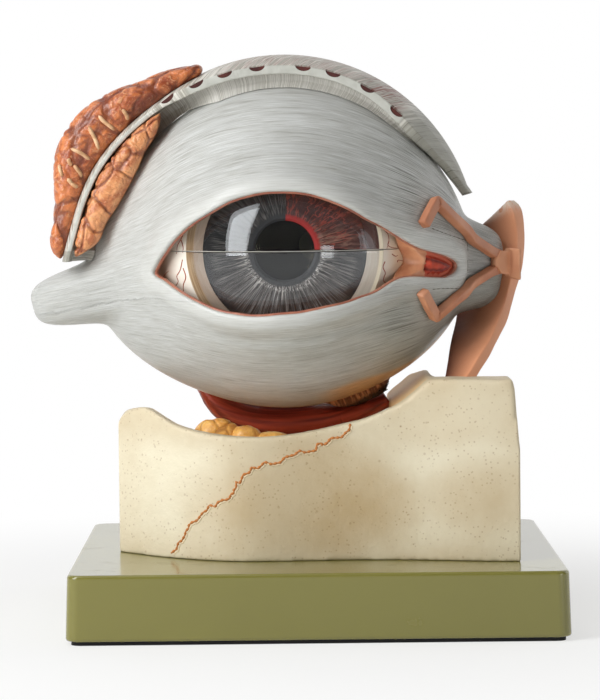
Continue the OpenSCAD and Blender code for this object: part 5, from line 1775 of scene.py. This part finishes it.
MUSCLE = muscle_finish("muscle_paint")
SLING_PAINT = muscle_finish("oblique_paint", True)
straps = [("inferior_rectus", "lower", 270, 0, 0), ("lateral_rectus_lower", "lower", 180, -1, 0),
    ("medial_rectus_lower", "lower", 0, -1, 0), ("superior_rectus", "upper", 90, 0, 3),
    ("lateral_rectus_upper", "upper", 180, 1, 0), ("medial_rectus_upper", "upper", 0, 1, 0)]
for node, half, phi, side, lift in straps:
    finish_piece(make_strap(node + "_fine", phi, side, lift), "eye_" + half, "muscle", MUSCLE, node)
print(len(straps), "straight muscles")

# %% Oblique muscles and the ligament
sling_keys = [[226, 16, 0.6, 2.44, 6], [238, 15, 3.4, 8.3, 9], [246, 14.5, 6, 11.5, 10.4],
    [256, 14, 8, 12.2, 11], [268, 13, 8, 12.2, 11], [279, 12.4, 7.6, 12.6, 10.4], [285, 12, 8.6, 11.6, 9.6],
    [291, 11.5, 10.6, 9.6, 8.6], [297, 11, 12.2, 7.9, 7.4], [303.5, 11, 13.6, 6.8, 6]]
upper_keys = [[44, 2, 2.4, 2.6, 2.6], [56, 5, 0.8, 2, 4], [72, 11, 0.1, 1.4, 6], [88, 16, 0.1, 1.4, 7.5],
    [106, 21, 0.1, 1.2, 8.5], [120, 25, 0, 0.8, 8]]
ligament_keys = [[282, 4, 0.4, 4.8, 4.5], [287, 4.5, 0.4, 9, 5], [293, 5, 0.4, 11.8, 5.5],
    [300, 5.5, 0.4, 12.6, 5.5], [304, 5.5, 1, 12, 5.5], [307, 6, 3, 7, 4]]


def make_sling(name, keys, seed, comb, split=None, torn=0.0):
    """A muscle that runs round the eyeball; split is the angle of a cleft, torn frays the last end."""
    rings, deep = [], []
    for ph in np.linspace(keys[0][0], keys[-1][0], 160):
        mid, over, t, w = curve(keys, ph)[0]
        ring, mark = [], []
        for a in np.radians(np.linspace(0, 360, 73)[:-1]):
            c, s = math.cos(a), (1 + math.sin(a)) / 2
            y = mid + c * w
            cleft = float(bump(ph - split - 0.5 * math.sin(s * 7), 0.42, 2)) if split else 0
            comb_depth = comb * grooves(ph * 1.2, y * 1.3 + s * t, seed) * smooth((s - 0.3) * 3)
            fray = torn * noise.noise((y * 1.6, s * t * 1.3, seed)) * smooth((ph - keys[-1][0] + 7) / 5)
            r = ball_r(y) + over + t * s + comb_depth - 1.3 * cleft * smooth((s - 0.2) * 3)
            ring.append(round_axis(r, y, ph + fray))
            mark.append(cleft + float(bump(s, 0.3, 2)))
        rings.append(ring)
        deep.append(mark)
    return skin(name, at_eye(rings), marks={"deep": deep})


def ligament_finish():
    """Tan tissue with dark strands from front to back, and painted black shadow where it goes under."""
    f = Finish("ligament_paint")
    x, y, z, rho = eye_axes(f)
    strand = f.noise(1, 3, f.join(x * 0.75 + z * 0.35, y * 0.12, z * 0.12))
    colour = f.blend(f.fade(strand, 0.42, 0.6), shade(0.50, 0.32, 0.22), shade(0.82, 0.60, 0.45))
    # Black where the ligament goes under is painted shadow.
    low = f.fade(rho + strand * 3.0, 68.6, 70.4)
    colour = f.blend(low * 0.9, colour, shade(0.07, 0.04, 0.03))
    f.set(base_color=colour, roughness=strand * 0.2 + 0.45)
    return f.bump(strand, 0.0007).material


finish_piece(make_sling("lower_oblique", sling_keys, 3, 1.6, 288.0), "eye_lower", "muscle", SLING_PAINT,
    "inferior_oblique")
finish_piece(make_sling("upper_oblique", upper_keys, 8, 0.5), "eye_upper", "muscle", SLING_PAINT,
    "superior_oblique")
finish_piece(make_sling("torn_ligament", ligament_keys, 5, 2.2, None, 3.2), "eye_lower", "ligament",
    ligament_finish(), "suspensory_ligament")
print("oblique muscles and ligament made")

# %% [markdown]
# ## Fat on the orbit floor
# Yellow fat lies just behind the rim, in rounded lobes parted by creases. The lobes are modelled on the real
# thing in soft wax before they are cast, so each is a lumpy dome pressed against the next.

# %% Fat
fat_lobes = [[-38.6, -24, 10.2, 8, 10.4, 0.9], [-27.8, -25.5, 7.6, 8, 7.6, 0.5],
    [-17, -26.5, 8.4, 8, 5.2, 0.4]]


def make_fat():
    lobes = []
    for number, (cx, cy, half_x, half_y, height, crease) in enumerate(fat_lobes):
        rings, deep = [], []
        for up in np.linspace(0, 1, 40):
            a = math.radians(90 * up)
            ring, mark = [], []
            for b in np.radians(np.linspace(0, 360, 97)[:-1]):
                lump = 1 + 0.03 * noise.noise((math.cos(b) * 1.7, math.sin(b) * 1.7, up * 1.5 + number * 9))
                x = half_x * lump * math.cos(a) ** 0.7 * math.cos(b)
                y = half_y * lump * math.cos(a) ** 0.7 * math.sin(b)
                z = height * lump * math.sin(a)
                grain = Vector((x / 7.5 + z / 20, y / 9, z / 7.5 - x / 15)) + Vector((number * 3.3, 0, 0))
                gaps = noise.voronoi(grain)[0]
                groove = float(bump(gaps[1] - gaps[0], 0.10, 2)) * crease
                r = 1 - 0.04 * groove
                ring.append((cx + x * r, cy + y * r, FLOOR_Z + max(0.02, z * (1 - 0.05 * groove))))
                mark.append(groove)
            rings.append(ring)
            deep.append(mark)
        lobes.append(skin("fat_lobe", rings, marks={"crease": deep}))
    return join_pieces("orbit_fat_lobes", lobes)


# The gland's finish gives the fat pale painted highlights and painted shade in its creases.
FAT = gland_finish("fat_paint", shade(0.86, 0.55, 0.20), shade(0.99, 0.77, 0.40), shade(0.62, 0.33, 0.10))
finish_piece(make_fat(), "base", "fat", FAT, "orbit_fat")
print(len(fat_lobes), "fat lobes")

# %% [markdown]
# ## Nerve and inner layers
# The nerve, its sheath and the inner shells keep their CAD meshes, apart from the upper choroid, which is
# made again so that its seam is closed. The choroid is dark brown and the retina red-brown, and both have
# fine mottling. The ciliary body is dark, with folds that run outwards; a bump makes them, and painted shade
# darkens the hollows between them. Seen through the pupil these dark linings leave it black.


# %% Their finishes
def nerve_finish(name, dark, light):
    """Fibres along the nerve, or round bundles on its cut end."""
    f = Finish(name)
    x, y, z = eye_axes(f)[:3]
    fibre = f.noise(1, 3, f.join(x * 0.9, y * 0.06, z * 0.9))
    bundle = f.fade(f.spots(900), 0.35, 0.6) * f.fade(y, 88, 88.5)
    colour = f.blend(fibre, dark, light)
    f.set(base_color=f.blend(bundle * 0.4, colour, dark), roughness=fibre * 0.2 + 0.4)
    return f.bump(fibre, 0.0003).material


def ciliary_finish():
    f = Finish("ciliary_paint")
    x, unused, z = eye_axes(f)[:3]
    fold = (z.math("ARCTAN2", x) * 70.0).math("SINE", 0) * 0.5 + 0.5
    cloud = f.noise(120, 4)
    # Lighter on the folds and darker between them: painted shade in the hollows.
    colour = f.blend(fold * 0.6 + cloud * 0.4, shade(0.10, 0.08, 0.075), shade(0.34, 0.27, 0.24))
    f.set(base_color=colour, roughness=0.45)
    return f.bump(fold, 0.0012).material


paint_node(nerve_finish("nerve_paint", shade(0.80, 0.72, 0.42), shade(0.92, 0.87, 0.62)), "optic_nerve")
paint_node(nerve_finish("sheath_paint", shade(0.70, 0.60, 0.46), shade(0.84, 0.76, 0.62)), "nerve_sheath")
CHOROID = soft_finish("choroid_paint", shade(0.20, 0.09, 0.06), shade(0.34, 0.16, 0.11), 0.5, 0.0, 260)
paint_node(CHOROID, "choroid_lower")
RETINA = soft_finish("retina_paint", shade(0.38, 0.15, 0.08), shade(0.46, 0.20, 0.11), 0.6, 0.0, 45, 0.0001)
paint_node(RETINA, "retina_lower", "retina_upper")
paint_node(ciliary_finish(), "ciliary_body_lower", "ciliary_body_upper")
print("inner layers painted")

# %% [markdown]
# The halves of the CAD model stand a hair apart at the middle plane, and through the pupil daylight would
# show there as a white line. The real halves meet, so the upper choroid is made again with its rim let down
# to the lower one. It is a slab between two balls, with room cut for the nerve.

# %% Upper choroid
NERVE_TURN = 14.2
NERVE_ROOM = 6.8


def make_choroid():
    low, high = box_mm("choroid_upper")
    r_out, front = (high[0] - low[0]) / 2, low[1]
    r_in = r_out - (high[0] - box_mm("retina_upper")[1][0]) + 0.3
    ph = np.linspace(0, 180, 121)[None]
    sheets = []
    for r in (r_out, r_in):
        th = np.linspace(math.degrees(math.acos(-front / r)), 179.9, 70)[:, None]
        sheet = polar(th + 0 * ph, ph, r)
        sheet[:, [0, -1], 2] -= 0.14
        sheets.append(at_eye(sheet))
    half = slab("choroid_half_upper", *sheets)
    a = math.radians(NERVE_TURN)
    along, across = np.array([math.sin(a), math.cos(a), 0]), np.array([math.cos(a), -math.sin(a), 0])
    turns = np.linspace(0, 2 * math.pi, 49)[:-1]
    circle = [across * math.cos(b) + np.array([0, 0, math.sin(b)]) for b in turns]
    rows = [[along * d + c * NERVE_ROOM for c in circle] for d in (r_in - 10, r_out + 10)]
    return cut(half, skin("nerve_room", at_eye(rows)))


finish_piece(make_choroid(), "eye_upper", "choroid", CHOROID, "choroid_upper")
print("upper choroid made")

# %% [markdown]
# Branching vessels are painted on the inside of the retina. They start where the nerve enters and thin out
# towards the front, red arteries beside darker veins, and end before the ciliary body.

# %% Vessels of the retina
RETINA_IN = min(abs(v) for v in box_mm("retina_lower")[0][2:3] - EYE[2]) - 1.0


def retina_branch(rng, ph, th, length, thick, lines):
    """A line over the inside of the ball; th counts from the back, and branches are added to lines."""
    line = []
    steps = int(length / 2)
    for i in range(steps):
        t = i / steps
        th += 2 / math.radians(1) / RETINA_IN * math.cos(math.radians(rng.uniform(-20, 20)))
        ph += rng.uniform(-1, 1) * 130 / max(th, 12)
        if th > 82:
            break
        p = polar(180 - th, ph, RETINA_IN - 0.05)
        line.append((p[0], p[1], p[2], thick * (1 - 0.5 * t)))
        if thick > 0.22 and i > 3 and rng.random() < 0.16:
            retina_branch(rng, ph + rng.choice((-1, 1)) * 22, th, length * 0.5, thick * 0.65, lines)
    lines.append(line)


def retina_lines(seed, thick):
    rng = random.Random(seed)
    lines = []
    for ph in (35, 75, 118, 150, 205, 242, 285, 325):
        retina_branch(rng, ph + rng.uniform(-8, 8), 5, 62, thick, lines)
    cos_a, sin_a = math.cos(math.radians(NERVE_TURN)), math.sin(math.radians(NERVE_TURN))
    done = []
    for line in lines:
        turned = [(x * cos_a + y * sin_a, y * cos_a - x * sin_a, z, w) for x, y, z, w in line]
        done.append([(x + EYE[0], y, z + EYE[2], w) for x, y, z, w in turned])
    return split_at_seam([line for line in done if len(line) > 1])


for seed, thick, colour in ((5, 0.34, (0.66, 0.16, 0.10)), (11, 0.40, (0.34, 0.08, 0.10))):
    paint = plain(f"retina_vessel_{seed}", shade(*colour), 0.4)
    for half, lines in zip(("upper", "lower"), retina_lines(seed, thick)):
        finish_piece(threads(f"retina_lines_{seed}_{half}", lines, paint), "eye_" + half, "retina", paint)
print("retina radius", round(RETINA_IN, 2))

# %% [markdown]
# ## Seams
# A wavy suture runs up the bone, drawn in brown with a painted highlight along its lower edge. Fine dark
# seams cross the lids near the inner corner, where the ligament is let in. Both are threads laid on the
# surface that a ray finds.

# %% Suture
suture = [(13.2, 79.2), (12.8, 77.0), (11.4, 76.0), (9.8, 74.2), (5.6, 73.9), (4.3, 72.2), (2.7, 71.2),
    (1.7, 72.1), (0.2, 71.5), (0, 69.2), (-2.1, 69), (-4.4, 68.5), (-6.5, 69.3), (-8.4, 67.7), (-12.2, 66.8),
    (-13.8, 64.9), (-17.2, 64.2), (-19.9, 65.2), (-21.6, 63.4), (-22.8, 62.6), (-24.9, 63.2), (-25.8, 61.1),
    (-28.3, 60.2), (-29.2, 57.7), (-29.8, 56.8), (-31.1, 57.4), (-30.9, 55.4), (-31.9, 54.3), (-31.9, 53),
    (-33, 52.8), (-33.6, 51.1), (-34.9, 50.4), (-36.2, 50.4), (-38.3, 49.3), (-39.2, 47.6), (-41.5, 48.2),
    (-42.6, 46), (-43.9, 45.3), (-45.2, 43.7), (-46.3, 42), (-48.6, 41), (-49.7, 39.9), (-49.7, 38.8),
    (-50.8, 37.7), (-51.3, 35.8), (-52.6, 33.6), (-53.7, 33.1), (-54.3, 31.7), (-54.6, 30.2), (-57, 28.4)]
bone_tree = surface_of(bpy.data.objects["orbit_bone"])


def laid(tree, line, thick, shift=(0, 0), step=0.5):
    """A line laid on a surface from in front; each point has its radius."""
    x, z = np.array(line).T
    run = np.concatenate([[0], np.cumsum(np.hypot(np.diff(x), np.diff(z)))])
    at = np.arange(0, run[-1], step)
    return [(*land(tree, a + shift[0], b + shift[1]), thick * (0.75 + 0.35 * math.sin(i * 1.7)))
        for i, (a, b) in enumerate(zip(np.interp(at, run, x), np.interp(at, run, z)))]


SUTURE = plain("suture_brown", shade(0.78, 0.49, 0.23), 0.6)
# The light thread beside the suture is a painted highlight on the groove's lit edge.
SUTURE_HIGHLIGHT = plain("suture_highlight_paint", shade(0.95, 0.88, 0.74), 0.6)
finish_piece(threads("bone_suture", [laid(bone_tree, suture, 0.6)], SUTURE), "base", "bone", SUTURE)
highlight_line = [laid(bone_tree, suture, 0.36, (0.66, -0.6))]
finish_piece(threads("bone_suture_highlight", highlight_line, SUTURE_HIGHLIGHT), "base", "bone", SUTURE_HIGHLIGHT)

# %% Seams of the lids
lid_seams = [[(57.2, 7.8), (62.6, 5.7), (68.3, 3.6), (71.9, 2.5)], [(71.9, 3), (72.1, -1.8)],
    [(71.8, -5), (71.9, -9.6)], [(71.7, -12.3), (71.3, -15.2)], [(57.3, -15.8), (62.7, -15.7), (68.3, -16.1)]]
lid_tree = surface_of(bpy.data.objects["lids"])
LINE = plain("seam_paint", shade(0.40, 0.38, 0.33), 0.7)
seam_lines = [laid(lid_tree, [(x + EYE[0], z + EYE[2]) for x, z in line], 0.17) for line in lid_seams]
finish_piece(threads("lid_lines", seam_lines, LINE), "lids", "lid_grey", LINE)
print(len(seam_lines), "seams on the lids")

# %% [markdown]
# ## Rod, bush, screws and pins
# The metal parts are bought ones. They are plain turned shapes, so they keep their CAD meshes and take
# finishes with a fine turned grain.

# %% Metal parts
STEEL = plain("steel", (0.62, 0.62, 0.61), 0.3, metal=1.0, grain=1500)
paint_node(STEEL, "support_rod", "bone_screws", "register_pins", "lid_pegs")
paint_node(plain("brass", (0.72, 0.52, 0.25), 0.32, metal=1.0, grain=1500), "mounting_bush")
print("metal parts painted")
